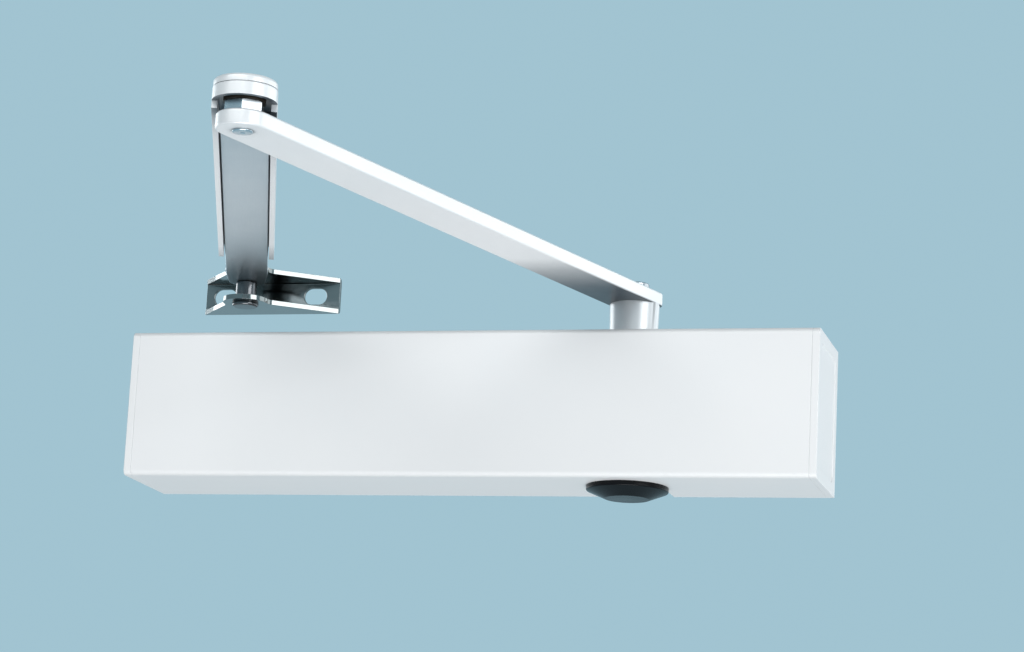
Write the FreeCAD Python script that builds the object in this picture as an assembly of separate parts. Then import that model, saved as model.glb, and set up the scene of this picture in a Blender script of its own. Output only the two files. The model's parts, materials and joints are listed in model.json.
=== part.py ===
import FreeCAD
import Part

import math
import os

# Overhead door closer with a link arm, in millimetres.
# The origin is the centre of the four fixing holes, on the face of the door.
# +X runs along the body, to the right as one faces the door, +Y goes into the door and +Z is up.
# The door is shut: the piston stands at its right stop, and the arm points away from the door.

# Cover and end caps
cover_length = 287.0
cover_height = 60.0
cover_depth = 47.0
cover_wall = 2.0
cover_front_radius = 2.2
cap_flange = 3.0
cap_spigot = 4.0
cap_spigot_wall = 1.8
cap_panel_depth = 0.6
cap_panel_margin = 5.0
cap_panel_radius = 3.0

# Clearances
slip_gap = 0.15
seat_gap = 0.05
running_gap = 0.05
free_gap = 0.3
piston_gap = 0.1

# Spindle: distance of its axis from the right end of the cover
spindle_from_end = 80.0

# Cast housing
bore_radius = 17.5
tube_wall = 3.3
block_room = 1.5
casting_radius = 4.0
lug_thickness = 8.0
lug_margin_z = 9.5
lug_edge_radius = 3.0
lug_gap = 0.5
fixing_hole_radius = 3.3
fixing_hole_inset = 5.0
fixing_spacing_z = 19.0
screw_head_room = 6.0
block_lead = 26.0
rib_width = 4.0
pocket_depth = 5.0
pocket_half_width = 2.4
pocket_wall = 2.2
pocket_margin = 12.0

# Pinion and rack
tooth_module = 1.75
pinion_teeth = 10
pressure_angle = math.radians(25.0)
addendum = 1.5
dedendum = 1.9
backlash = 0.2
face_width = 23.0
rack_width = 22.0
swing_range = 170.0
journal_radius = 8.0
square_flats = 11.2
square_corner_radius = 7.5
spindle_reach = 3.2
spindle_thread_radius = 3.0
spindle_thread_depth = 14.0

# Shaft seals; the bearings fill what is left between them and the bore
seal_thickness = 2.7

# Piston, spring and setting screw
window_room = 1.25
spring_crown = 14.0
piston_end_gap = 1.0
right_plug_length = 10.0
left_plug_length = 12.0
plug_key_flats = 10.0
plug_key_depth = 5.0
spring_side_room = 2.3
spring_wire_radial = 4.4
spring_wire_axial = 5.0
spring_turns = 8
chords_per_turn = 12
seat_thickness = 5.0
power_screw_radius = 4.0
power_screw_flange_radius = 7.0
power_screw_flange = 2.0
power_screw_pitch = 1.5
power_turns_down = 3
power_turns_up = 6
power_key_flats = 4.0
power_key_depth = 5.0
check_valve_radius = 4.0
check_valve_length = 8.0
check_passage_radius = 1.2

# Regulating valves in the front of the housing
valve_radius = 3.0
valve_length = 12.0
valve_from_spindle = 23.2
valve_step_x = 13.0
valve_slot_width = 0.9
valve_slot_depth = 1.2

# Cap under the lower spindle end
spindle_cap_radius = 16.6
spindle_cap_rim = 1.9
spindle_cap_height = 5.0
spindle_cap_face_radius = 9.0
spindle_cap_leg = 1.6
spindle_cap_leg_width = 7.0
spindle_cap_room = 1.5
hub_clearance = 4.0

# Main arm
arm_length = 270.8
arm_angle = -106.6
arm_hub_width = 20.4
arm_elbow_radius = 9.3
arm_end_reach = 8.3
arm_end_corner = 5.0
arm_thickness = 5.5
arm_height = 14.6
arm_edge = 0.8
hub_top_radius = 10.2
hub_foot_radius = 9.6
arm_screw_radius = 3.0
arm_screw_head_radius = 5.5
arm_screw_head = 3.6
hex_key_flats = 4.0
hex_key_depth = 2.0

# Elbow
stud_rivet_radius = 3.0
stud_rivet_head_radius = 3.6
stud_rivet_head = 0.6
stud_hex_flats = 12.4
stud_hex_height = 4.0
stud_shank_radius = 4.0
bush_radius = 7.2
bush_thickness = 2.85
clip_thickness = 0.9
clip_radius = 6.4
stud_tip = 0.5
elbow_cap_wall = 1.4
elbow_cap_top = 0.9
elbow_cap_height = 2.8
elbow_cap_tail = 13.0
elbow_cap_edge = 1.2

# Forearm
forearm_angle = 109.1
channel_length = 212.0
channel_width = 22.0
channel_wall = 2.0
channel_edge = 1.2
channel_wall_depth = 7.2
channel_hood_depth = 4.6
bar_side_room = 0.5
bar_thickness = 4.0
bar_end_radius = 7.5
bar_overlap = 188.0
bar_beyond = 47.4
bar_taper = 14.0
bar_corner_radius = 2.0
reach_shorter = 12.0
reach_longer = 30.0
clamp_from_bar_start = 10.0
clamp_screw_radius = 3.0
clamp_head_radius = 5.0
clamp_head = 3.0

# Frame bracket
bracket_sheet = 2.0
bracket_height = 15.2
pivot_setback = 22.5
flange_end = 2.5
nose_radius = 9.3
nose_open = math.radians(12.0)
nose_blend = 5.0
bracket_corner = 2.0
slot_left = 16.6
slot_spacing = 40.0
slot_margin_left = 8.4
slot_margin_right = 10.7
slot_length = 10.0
slot_width = 7.0
pin_radius = 3.5
pin_head_radius = 5.4
pin_foot = 1.5
pin_head = 1.0
pin_shoulder_radius = 4.3

# Places worked out from the sizes above
axis_y = -cover_depth / 2
spindle_x = cover_length / 2 - spindle_from_end
cover_end_x = cover_length / 2 - cap_flange
lug_end_x = cover_end_x - cap_spigot - lug_gap
hole_x = lug_end_x - fixing_hole_inset
housing_end_x = hole_x - screw_head_room
lug_half_height = fixing_spacing_z / 2 + lug_margin_z
inner_height = cover_height / 2 - cover_wall
block_height = inner_height - block_room
block_front = -cover_depth + cover_wall + free_gap
tube_radius = bore_radius + tube_wall
pocket_height = tube_radius - pocket_wall - pocket_half_width

pitch_radius = tooth_module * pinion_teeth / 2
tip_radius = pitch_radius + addendum
root_radius = pitch_radius - dedendum
base_radius = pitch_radius * math.cos(pressure_angle)
piston_travel = pitch_radius * math.radians(swing_range)
rack_pitch = math.pi * tooth_module

# The pinion goes in through the bore of the bearings, so they are as wide as its teeth
bearing_radius = tip_radius
seal_low = block_height - seat_gap - seal_thickness
bearing_low = bore_radius + seat_gap
bearing_top = seal_low - seat_gap
spindle_end = cover_height / 2 + spindle_reach

piston_radius = bore_radius - piston_gap
window_left = spindle_x - tip_radius - window_room
window_right = spindle_x + piston_travel + tip_radius + window_room
piston_left = window_left - spring_crown
right_plug_x = housing_end_x - right_plug_length
piston_right = right_plug_x - piston_end_gap
plug_radius = bore_radius - seat_gap
left_plug_x = left_plug_length - housing_end_x
seat_travel_down = power_turns_down * power_screw_pitch
seat_travel_up = power_turns_up * power_screw_pitch
seat_x = left_plug_x + power_screw_flange + seat_travel_down + 2 * free_gap
spring_start = seat_x + seat_thickness
spring_outer_radius = bore_radius - spring_side_room
spring_inner_radius = spring_outer_radius - spring_wire_radial

journal_end = block_height + free_gap
hub_low = journal_end + free_gap
arm_underside = cover_height / 2 + arm_height
arm_top = arm_underside + arm_thickness
forearm_reach = channel_length + bar_beyond
elbow_x = spindle_x + arm_length * math.cos(math.radians(arm_angle))
elbow_y = axis_y + arm_length * math.sin(math.radians(arm_angle))
pivot_x = elbow_x + forearm_reach * math.cos(math.radians(forearm_angle))
pivot_y = elbow_y + forearm_reach * math.sin(math.radians(forearm_angle))
hex_top = arm_top + stud_hex_height
web_underside = hex_top + slip_gap + bush_thickness
channel_web_top = web_underside + channel_wall
bar_top = web_underside - free_gap
bar_low = bar_top - bar_thickness
bar_width = channel_width - 2 * (channel_wall + bar_side_room)
bar_start = channel_length - bar_overlap
clamp_s = bar_start + clamp_from_bar_start
bracket_top = bar_top + free_gap + bracket_sheet
bracket_left = slot_left + slot_margin_left
bracket_right = slot_spacing - slot_left + slot_margin_right
slot_half_width = hub_top_radius + hub_clearance
valve_first_x = spindle_x + valve_from_spindle
valve_height = bore_radius + valve_radius


# Building helpers

def vec(x, y, z):
    return FreeCAD.Vector(x, y, z)


def box(x_span, y_span, z_span):
    corner = vec(x_span[0], y_span[0], z_span[0])
    return Part.makeBox(
        x_span[1] - x_span[0], y_span[1] - y_span[0], z_span[1] - z_span[0], corner
    )


def upright(radius, low, high, x=0.0, y=0.0):
    return Part.makeCylinder(radius, high - low, vec(x, y, low), vec(0, 0, 1))


def lying(radius, low, high, y=axis_y, z=0.0):
    return Part.makeCylinder(radius, high - low, vec(low, y, z), vec(1, 0, 0))


def into_door(radius, front, back, x, z):
    return Part.makeCylinder(radius, back - front, vec(x, front, z), vec(0, 1, 0))


def ring(outer, inner, low, high, x=0.0, y=0.0):
    return upright(outer, low, high, x, y).cut(upright(inner, low, high, x, y))


def line(start, end):
    return Part.LineSegment(start, end).toShape()


def arc(start, middle, end):
    return Part.Arc(start, middle, end).toShape()


def face_of(edges):
    return Part.Face(Part.Wire(edges))


def polygon_face(points):
    return Part.Face(Part.makePolygon(list(points) + [points[0]]))


def hexagon(flats, low, high, x=0.0, y=0.0, turn=0.0):
    corner = flats / math.sqrt(3)
    points = []
    for side in range(6):
        angle = turn + side * math.pi / 3
        points.append(vec(x + corner * math.cos(angle), y + corner * math.sin(angle), low))
    return polygon_face(points).extrude(vec(0, 0, high - low))


def front_rounded(x_span, half_height, front, back, radius):
    # A bar along X whose two front edges are rounded
    bend = radius * (1 - math.sqrt(0.5))
    x = x_span[0]
    low_bend = arc(
        vec(x, front + radius, -half_height),
        vec(x, front + bend, bend - half_height),
        vec(x, front, radius - half_height),
    )
    high_bend = arc(
        vec(x, front, half_height - radius),
        vec(x, front + bend, half_height - bend),
        vec(x, front + radius, half_height),
    )
    edges = [
        line(vec(x, back, -half_height), vec(x, front + radius, -half_height)),
        low_bend,
        line(vec(x, front, radius - half_height), vec(x, front, half_height - radius)),
        high_bend,
        line(vec(x, front + radius, half_height), vec(x, back, half_height)),
        line(vec(x, back, half_height), vec(x, back, -half_height)),
    ]
    return face_of(edges).extrude(vec(x_span[1] - x_span[0], 0, 0))


def rounded_end_strip(start, end, half_width, low, high):
    # A strip along X with a half-round nose at its start and a square end
    edges = [
        arc(vec(start, half_width, low), vec(start - half_width, 0, low), vec(start, -half_width, low)),
        line(vec(start, -half_width, low), vec(end, -half_width, low)),
        line(vec(end, -half_width, low), vec(end, half_width, low)),
        line(vec(end, half_width, low), vec(start, half_width, low)),
    ]
    return face_of(edges).extrude(vec(0, 0, high - low))


def slot_strip(start, end, half_width, low, high):
    # A strip along X with both ends half round
    edges = [
        arc(vec(start, half_width, low), vec(start - half_width, 0, low), vec(start, -half_width, low)),
        line(vec(start, -half_width, low), vec(end, -half_width, low)),
        arc(vec(end, -half_width, low), vec(end + half_width, 0, low), vec(end, half_width, low)),
        line(vec(end, half_width, low), vec(start, half_width, low)),
    ]
    return face_of(edges).extrude(vec(0, 0, high - low))


def tapered_strip(start, start_half, end, end_radius, low, high):
    # A strip along X that is square at its start and narrows to a round end about `end`
    lean = math.atan2(start_half - end_radius, end - start)
    touch_x = end + end_radius * math.sin(lean)
    touch_y = end_radius * math.cos(lean)
    edges = [
        line(vec(start, -start_half, low), vec(touch_x, -touch_y, low)),
        arc(vec(touch_x, -touch_y, low), vec(end + end_radius, 0, low), vec(touch_x, touch_y, low)),
        line(vec(touch_x, touch_y, low), vec(start, start_half, low)),
        line(vec(start, start_half, low), vec(start, -start_half, low)),
    ]
    return face_of(edges).extrude(vec(0, 0, high - low))


def mirrored_down(shape):
    return shape.mirror(vec(0, 0, 0), vec(0, 0, 1))


def placed(shape, x, y, angle):
    # Turn a piece drawn along +X about the Z axis and set it at x, y
    shape.rotate(vec(0, 0, 0), vec(0, 0, 1), angle)
    shape.translate(vec(x, y, 0))
    return shape


def edges_at_height(shape, height):
    found = []
    for edge in shape.Edges:
        span = edge.BoundBox
        if abs(span.ZMin - height) < 1e-4 and abs(span.ZMax - height) < 1e-4:
            found.append(edge)
    return found


# Cover and end caps

def cover():
    span = (-cover_end_x, cover_end_x)
    shell = front_rounded(span, cover_height / 2, -cover_depth, 0, cover_front_radius)
    inner_radius = max(cover_front_radius - cover_wall, slip_gap)
    inside = front_rounded(span, inner_height, -cover_depth + cover_wall, 1, inner_radius)
    shell = shell.cut(inside)
    # Slots from the back edge let the cover slip on over both spindle ends
    reach = cover_height
    slot = upright(slot_half_width, -reach, reach, spindle_x, axis_y)
    slot = slot.fuse(box(
        (spindle_x - slot_half_width, spindle_x + slot_half_width), (axis_y, 1), (-reach, reach)
    ))
    return shell.cut(slot)


def right_end_cap():
    outer_x = cover_length / 2
    flange = front_rounded(
        (cover_end_x, outer_x), cover_height / 2, -cover_depth, 0, cover_front_radius
    )
    # The spigot slips into the end of the cover
    spigot_height = inner_height - slip_gap
    spigot_front = -cover_depth + cover_wall + slip_gap
    spigot_span = (cover_end_x - cap_spigot, cover_end_x)
    spigot = box(spigot_span, (spigot_front, 0), (-spigot_height, spigot_height))
    hollow = box(
        spigot_span,
        (spigot_front + cap_spigot_wall, 1),
        (cap_spigot_wall - spigot_height, spigot_height - cap_spigot_wall),
    )
    cap = flange.fuse(spigot.cut(hollow))
    panel = front_rounded(
        (outer_x - cap_panel_depth, outer_x + 1),
        cover_height / 2 - cap_panel_margin,
        -cover_depth + cap_panel_margin,
        -cap_panel_margin,
        cap_panel_radius,
    )
    return cap.cut(panel).removeSplitter()


def left_end_cap():
    return right_end_cap().mirror(vec(0, 0, 0), vec(1, 0, 0))


def spindle_cap():
    # A flat-faced cone with a short rim, hollow over the spindle end
    top = -cover_height / 2
    low = top - spindle_cap_height
    rim_low = top - spindle_cap_rim
    side = Part.makeCone(
        spindle_cap_face_radius, spindle_cap_radius, rim_low - low, vec(0, 0, low), vec(0, 0, 1)
    )
    cap = side.fuse(upright(spindle_cap_radius, rim_low, top))
    hollow_radius = square_corner_radius + spindle_cap_room
    cap = cap.cut(upright(hollow_radius, -spindle_end - free_gap, top))
    # Two legs reach into the slot of the cover and snap behind its wall
    leg_half = spindle_cap_leg_width / 2
    outer = math.sqrt(slot_half_width ** 2 - leg_half ** 2) - slip_gap
    for leg_side in (-1, 1):
        span = sorted((leg_side * (outer - spindle_cap_leg), leg_side * outer))
        leg = box(span, (-leg_half, leg_half), (top, top + cover_wall))
        cap = cap.fuse(leg)
    return placed(cap.removeSplitter(), spindle_x, axis_y, 0)


# Housing and what closes its bore

def lug(side):
    ends = sorted((side * (housing_end_x - 1), side * lug_end_x))
    plate = box(ends, (-lug_thickness, 0), (-lug_half_height, lug_half_height))
    corners = []
    for edge in plate.Edges:
        span = edge.BoundBox
        upright_corner = span.YLength > lug_thickness / 2
        if upright_corner and abs(span.XMin - side * lug_end_x) < 1e-6:
            corners.append(edge)
    return plate.makeFillet(lug_edge_radius, corners)


def housing():
    block_start = spindle_x - block_lead
    tube = lying(tube_radius, -housing_end_x, block_start + 1)
    foot = box((-housing_end_x, block_start + 1), (axis_y, 0), (-tube_radius, tube_radius))
    block = front_rounded(
        (block_start, housing_end_x), block_height, block_front, 0, casting_radius
    )
    end_rib = front_rounded(
        (-housing_end_x, rib_width - housing_end_x), block_height, block_front, 0, casting_radius
    )
    body = tube.fuse([foot, block, end_rib, lug(-1), lug(1)])
    body = body.cut(lying(bore_radius, -cover_length, cover_length))
    spindle_bore = bearing_radius + seat_gap
    body = body.cut(upright(spindle_bore, -cover_height, cover_height, spindle_x, axis_y))
    for side in (-1, 1):
        for level in (-0.5, 0.5):
            hole = into_door(
                fixing_hole_radius, -lug_thickness - 1, 1, side * hole_x, level * fixing_spacing_z
            )
            body = body.cut(hole)
        # Long pockets in the back save metal beside the tube
        pocket = box(
            (pocket_margin - housing_end_x, block_start - pocket_margin / 2),
            (-pocket_depth, 1),
            sorted((
                side * (pocket_height - pocket_half_width), side * (pocket_height + pocket_half_width)
            )),
        )
        body = body.cut(pocket)
    for x, z in valve_places():
        body = body.cut(into_door(
            valve_radius + running_gap, block_front - 1, block_front + valve_length + free_gap, x, z
        ))
    return body.removeSplitter()


def key_hexagon(flats, low, high):
    # A hexagon bar along X on the axis of the bore
    bar = hexagon(flats, low, high)
    bar.rotate(vec(0, 0, 0), vec(0, 1, 0), 90)
    bar.translate(vec(0, axis_y, 0))
    return bar


def right_end_plug():
    body = lying(plug_radius, right_plug_x, housing_end_x)
    return body.cut(key_hexagon(plug_key_flats, housing_end_x - plug_key_depth, housing_end_x + 1))


def left_end_plug():
    body = lying(plug_radius, -housing_end_x, left_plug_x)
    return body.cut(lying(power_screw_radius + running_gap, -housing_end_x - 1, left_plug_x + 1))


# Pinion with its bearings

def involute(angle):
    return math.tan(angle) - angle


def tooth_half_angle(radius):
    # Half of the angle that a pinion tooth fills at this radius
    at_pitch = math.pi / (2 * pinion_teeth) - backlash / (4 * pitch_radius)
    roll = math.acos(min(1.0, base_radius / radius))
    return at_pitch + involute(pressure_angle) - involute(roll)


def pinion_outline(low):
    flank = [root_radius, base_radius, pitch_radius, (pitch_radius + tip_radius) / 2, tip_radius]
    points = []
    for tooth in range(pinion_teeth):
        middle = -math.pi / 2 + (2 * tooth + 1) * math.pi / pinion_teeth
        rising = [(radius, middle - tooth_half_angle(radius)) for radius in flank]
        falling = [(radius, middle + tooth_half_angle(radius)) for radius in reversed(flank)]
        for radius, angle in rising + falling:
            points.append(vec(radius * math.cos(angle), radius * math.sin(angle), low))
    return polygon_face(points)


def pinion():
    teeth = pinion_outline(-face_width / 2).extrude(vec(0, 0, face_width))
    shaft = teeth.fuse(upright(root_radius, -face_width / 2, face_width / 2))
    for side in (-1, 1):
        journal = upright(journal_radius, face_width / 2, journal_end)
        half = square_flats / 2
        square = box((-half, half), (-half, half), (journal_end, spindle_end))
        square = square.common(upright(square_corner_radius, journal_end, spindle_end))
        thread = upright(spindle_thread_radius, spindle_end - spindle_thread_depth, spindle_end + 1)
        end = journal.fuse(square).cut(thread)
        shaft = shaft.fuse(mirrored_down(end) if side < 0 else end)
    shaft = shaft.removeSplitter()
    shaft.translate(vec(spindle_x, axis_y, 0))
    return shaft


def upper_bearing():
    return ring(
        bearing_radius,
        journal_radius + running_gap,
        bearing_low,
        bearing_top,
        spindle_x,
        axis_y,
    )


def upper_shaft_seal():
    return ring(
        bearing_radius,
        journal_radius + running_gap,
        seal_low,
        seal_low + seal_thickness,
        spindle_x,
        axis_y,
    )


# Piston, spring and setting screw

def rack_tooth(x):
    # One tooth, pointing to the pinion; its foot runs into the wall behind it
    pitch_y = axis_y - pitch_radius
    slope = math.tan(pressure_angle)
    at_pitch = rack_pitch / 4 - backlash / 4
    tip = at_pitch - addendum * slope
    foot = at_pitch + dedendum * slope
    points = [
        vec(x - foot, pitch_y - dedendum - 1, -rack_width / 2),
        vec(x - foot, pitch_y - dedendum, -rack_width / 2),
        vec(x - tip, pitch_y + addendum, -rack_width / 2),
        vec(x + tip, pitch_y + addendum, -rack_width / 2),
        vec(x + foot, pitch_y - dedendum, -rack_width / 2),
        vec(x + foot, pitch_y - dedendum - 1, -rack_width / 2),
    ]
    return polygon_face(points).extrude(vec(0, 0, rack_width))


def piston():
    body = lying(piston_radius, piston_left, piston_right)
    window = box(
        (window_left, window_right),
        (axis_y - pitch_radius - dedendum, axis_y + tip_radius + window_room / 2),
        (-bore_radius - 1, bore_radius + 1),
    )
    body = body.cut(window)
    # The first tooth stands in the gap of the pinion at the closed position
    first = -math.floor(tip_radius / rack_pitch)
    last = math.floor((window_right - spindle_x - rack_pitch / 2) / rack_pitch)
    teeth = [rack_tooth(spindle_x + number * rack_pitch) for number in range(first, last + 1)]
    rack = Part.makeCompound(teeth).common(lying(piston_radius, piston_left, piston_right))
    body = body.fuse(rack.Solids)
    body = body.cut(lying(check_valve_radius + seat_gap, window_right - 1, piston_right + 1))
    return body.removeSplitter()


def check_valve():
    # Screwed into the crown, with the oil hole through it
    low = piston_right - check_valve_length
    body = lying(check_valve_radius, low, piston_right)
    return body.cut(lying(check_passage_radius, low - 1, piston_right + 1))


def closing_spring():
    # Coil of rectangular wire between the spring seat and the piston, wound in short chords
    rise = spring_wire_axial / 2 + free_gap / 2
    length = piston_left - spring_start - 2 * rise
    steps = spring_turns * chords_per_turn
    stations = []
    for step in range(steps + 1):
        angle = 2 * math.pi * step / chords_per_turn
        middle = spring_start + rise + length * step / steps
        corners = []
        for radius, side in (
            (spring_inner_radius, -0.5),
            (spring_outer_radius, -0.5),
            (spring_outer_radius, 0.5),
            (spring_inner_radius, 0.5),
        ):
            corners.append(vec(
                middle + side * spring_wire_axial,
                axis_y + radius * math.cos(angle),
                radius * math.sin(angle),
            ))
        stations.append(corners)
    faces = [polygon_face(stations[0]), polygon_face(stations[-1])]
    for here, there in zip(stations, stations[1:]):
        for first in range(4):
            second = (first + 1) % 4
            faces.append(polygon_face([here[first], here[second], there[second]]))
            faces.append(polygon_face([here[first], there[second], there[first]]))
    return Part.Solid(Part.makeShell(faces))


def spring_seat():
    disc = lying(bore_radius - free_gap, seat_x, spring_start)
    return disc.cut(lying(power_screw_radius + running_gap, seat_x - 1, spring_start + 1))


def power_screw():
    tail = spring_start + seat_travel_up + power_screw_pitch
    head = -housing_end_x + 1
    screw = lying(power_screw_radius, head, tail)
    flange_x = left_plug_x + seat_gap
    screw = screw.fuse(lying(power_screw_flange_radius, flange_x, flange_x + power_screw_flange))
    return screw.cut(key_hexagon(power_key_flats, head - 1, head + power_key_depth)).removeSplitter()


def valve_places():
    # Closing and latching speed below the bore, backcheck above it
    return [
        (valve_first_x, -valve_height),
        (valve_first_x + valve_step_x, -valve_height),
        (valve_first_x + valve_step_x, valve_height),
    ]


def valve(number):
    x, z = valve_places()[number]
    head = block_front + free_gap
    body = into_door(valve_radius, head, block_front + valve_length, x, z)
    slot = box(
        (x - valve_radius - 1, x + valve_radius + 1),
        (head - 1, head + valve_slot_depth),
        (z - valve_slot_width / 2, z + valve_slot_width / 2),
    )
    return body.cut(slot)


# Main arm and elbow

def main_arm():
    # Drawn along +X from the spindle, then turned into place
    bar = tapered_strip(
        -arm_end_reach, arm_hub_width / 2, arm_length, arm_elbow_radius, arm_underside, arm_top
    )
    corners = [
        edge for edge in bar.Edges
        if edge.BoundBox.ZLength > arm_thickness / 2 and edge.BoundBox.XMax < 0
    ]
    bar = bar.makeFillet(arm_end_corner, corners)
    edges = edges_at_height(bar, arm_underside) + edges_at_height(bar, arm_top)
    bar = bar.makeChamfer(arm_edge, edges)
    hub = Part.makeCone(
        hub_foot_radius, hub_top_radius, arm_underside + arm_edge - hub_low, vec(0, 0, hub_low)
    )
    arm = bar.fuse(hub)
    half = square_flats / 2 + seat_gap
    socket = box((-half, half), (-half, half), (hub_low - 1, spindle_end + free_gap))
    socket = socket.common(upright(square_corner_radius + seat_gap, hub_low - 1, arm_top))
    socket.rotate(vec(0, 0, 0), vec(0, 0, 1), -arm_angle)
    arm = arm.cut(socket)
    arm = arm.cut(upright(arm_screw_radius + slip_gap, spindle_end, arm_top + 1))
    arm = arm.cut(upright(stud_rivet_radius + seat_gap, arm_underside - 1, arm_top + 1, arm_length))
    return placed(arm.removeSplitter(), spindle_x, axis_y, arm_angle)


def socket_screw(radius, head_radius, head_low, head_height, low, x, y):
    # Cap screw, head up, with a hexagon socket
    head = upright(head_radius, head_low, head_low + head_height, x, y)
    shank = upright(radius, low, head_low, x, y)
    key_low = head_low + head_height - hex_key_depth
    key = hexagon(hex_key_flats, key_low, head_low + head_height + 1, x, y)
    return head.fuse(shank).cut(key).removeSplitter()


def arm_screw():
    low = spindle_end - spindle_thread_depth + 2
    return socket_screw(
        arm_screw_radius - seat_gap,
        arm_screw_head_radius,
        arm_top,
        arm_screw_head,
        low,
        spindle_x,
        axis_y,
    )


def clip_low():
    return channel_web_top + free_gap / 2


def elbow_stud():
    # Riveted into the arm, with a hexagon collar and a bearing shank that takes the clip
    stud = upright(stud_rivet_head_radius, arm_underside - stud_rivet_head, arm_underside).fuse([
        upright(stud_rivet_radius, arm_underside, arm_top),
        hexagon(stud_hex_flats, arm_top, hex_top, turn=math.pi / 6),
        upright(stud_shank_radius, hex_top, clip_low() + clip_thickness + stud_tip),
    ])
    return placed(stud.removeSplitter(), elbow_x, elbow_y, arm_angle)


def elbow_bush():
    # Flat bearing washer between the collar and the channel
    bore = stud_shank_radius + running_gap
    return ring(bush_radius, bore, hex_top + slip_gap, web_underside, elbow_x, elbow_y)


def elbow_clip():
    # Spring clip pressed on the top of the shank
    low = clip_low()
    return ring(
        clip_radius, stud_shank_radius + seat_gap, low, low + clip_thickness, elbow_x, elbow_y
    )


def elbow_cap():
    top = channel_web_top + elbow_cap_height
    half = channel_width / 2 - slip_gap
    shell = rounded_end_strip(0, elbow_cap_tail, half, channel_web_top, top)
    shell = shell.makeChamfer(elbow_cap_edge, edges_at_height(shell, top))
    hollow = rounded_end_strip(
        0, elbow_cap_tail - elbow_cap_wall, half - elbow_cap_wall, channel_web_top, top - elbow_cap_top
    )
    return placed(shell.cut(hollow), elbow_x, elbow_y, forearm_angle)


# Forearm, drawn along +X from the elbow

def forearm_channel():
    half = channel_width / 2
    low = channel_web_top - channel_wall_depth
    hood_low = channel_web_top - channel_hood_depth
    outer = rounded_end_strip(0, channel_length, half, low, channel_web_top)
    outer = outer.makeChamfer(channel_edge, [
        edge for edge in edges_at_height(outer, channel_web_top)
        if edge.BoundBox.XMin < channel_length - 1
    ])
    inner = rounded_end_strip(0, channel_length + 1, half - channel_wall, low - 1, web_underside)
    channel = outer.cut(inner)
    # The skirt at the nose is cut higher than the side walls
    channel = channel.cut(box((-channel_width, 0), (-channel_width, channel_width), (low - 1, hood_low)))
    channel = channel.cut(upright(stud_shank_radius + running_gap, low, channel_web_top + 1))
    channel = channel.cut(slot_strip(
        clamp_s - reach_shorter - slip_gap,
        clamp_s + reach_longer + slip_gap,
        clamp_screw_radius + slip_gap,
        low,
        channel_web_top + 1,
    ))
    return placed(channel.removeSplitter(), elbow_x, elbow_y, forearm_angle)


def forearm_bar():
    half = bar_width / 2
    taper_s = forearm_reach - bar_taper
    # The sides run from the taper to the tangent points of the round end
    fall = half - bar_end_radius
    lean = math.atan2(fall, bar_taper)
    end_s = forearm_reach + bar_end_radius * math.sin(lean)
    end_t = bar_end_radius * math.cos(lean)
    edges = [
        line(vec(bar_start, -half, bar_low), vec(taper_s, -half, bar_low)),
        line(vec(taper_s, -half, bar_low), vec(end_s, -end_t, bar_low)),
        arc(
            vec(end_s, -end_t, bar_low),
            vec(forearm_reach + bar_end_radius, 0, bar_low),
            vec(end_s, end_t, bar_low),
        ),
        line(vec(end_s, end_t, bar_low), vec(taper_s, half, bar_low)),
        line(vec(taper_s, half, bar_low), vec(bar_start, half, bar_low)),
        line(vec(bar_start, half, bar_low), vec(bar_start, -half, bar_low)),
    ]
    bar = face_of(edges).extrude(vec(0, 0, bar_thickness))
    corners = []
    for edge in bar.Edges:
        span = edge.BoundBox
        if span.ZLength > bar_thickness / 2 and abs(span.XMin - bar_start) < 1e-6:
            corners.append(edge)
    bar = bar.makeFillet(bar_corner_radius, corners)
    bar = bar.cut(upright(pin_radius + running_gap, bar_low - 1, bar_top + 1, forearm_reach))
    bar = bar.cut(upright(clamp_screw_radius, bar_low - 1, bar_top + 1, clamp_s))
    return placed(bar, elbow_x, elbow_y, forearm_angle)


def clamp_place():
    turn = math.radians(forearm_angle)
    return elbow_x + clamp_s * math.cos(turn), elbow_y + clamp_s * math.sin(turn)


def clamp_screw():
    x, y = clamp_place()
    head_low = channel_web_top + seat_gap
    return socket_screw(
        clamp_screw_radius - seat_gap,
        clamp_head_radius,
        head_low,
        clamp_head,
        bar_low,
        x,
        y,
    )


# Frame bracket, drawn about its pivot with the wall face at y = pivot_setback

def flange_outline(low):
    # A triangular flange that ends in a round nose about the pivot
    nose = vec(nose_radius * math.cos(nose_open), nose_radius * math.sin(nose_open), low)
    front = pivot_setback - flange_end
    edges = [
        line(vec(-bracket_left, pivot_setback, low), vec(bracket_right, pivot_setback, low)),
        line(vec(bracket_right, pivot_setback, low), vec(bracket_right, front, low)),
        line(vec(bracket_right, front, low), nose),
        arc(nose, vec(0, -nose_radius, low), vec(-nose.x, nose.y, low)),
        line(vec(-nose.x, nose.y, low), vec(-bracket_left, front, low)),
        line(vec(-bracket_left, front, low), vec(-bracket_left, pivot_setback, low)),
    ]
    return face_of(edges)


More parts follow.
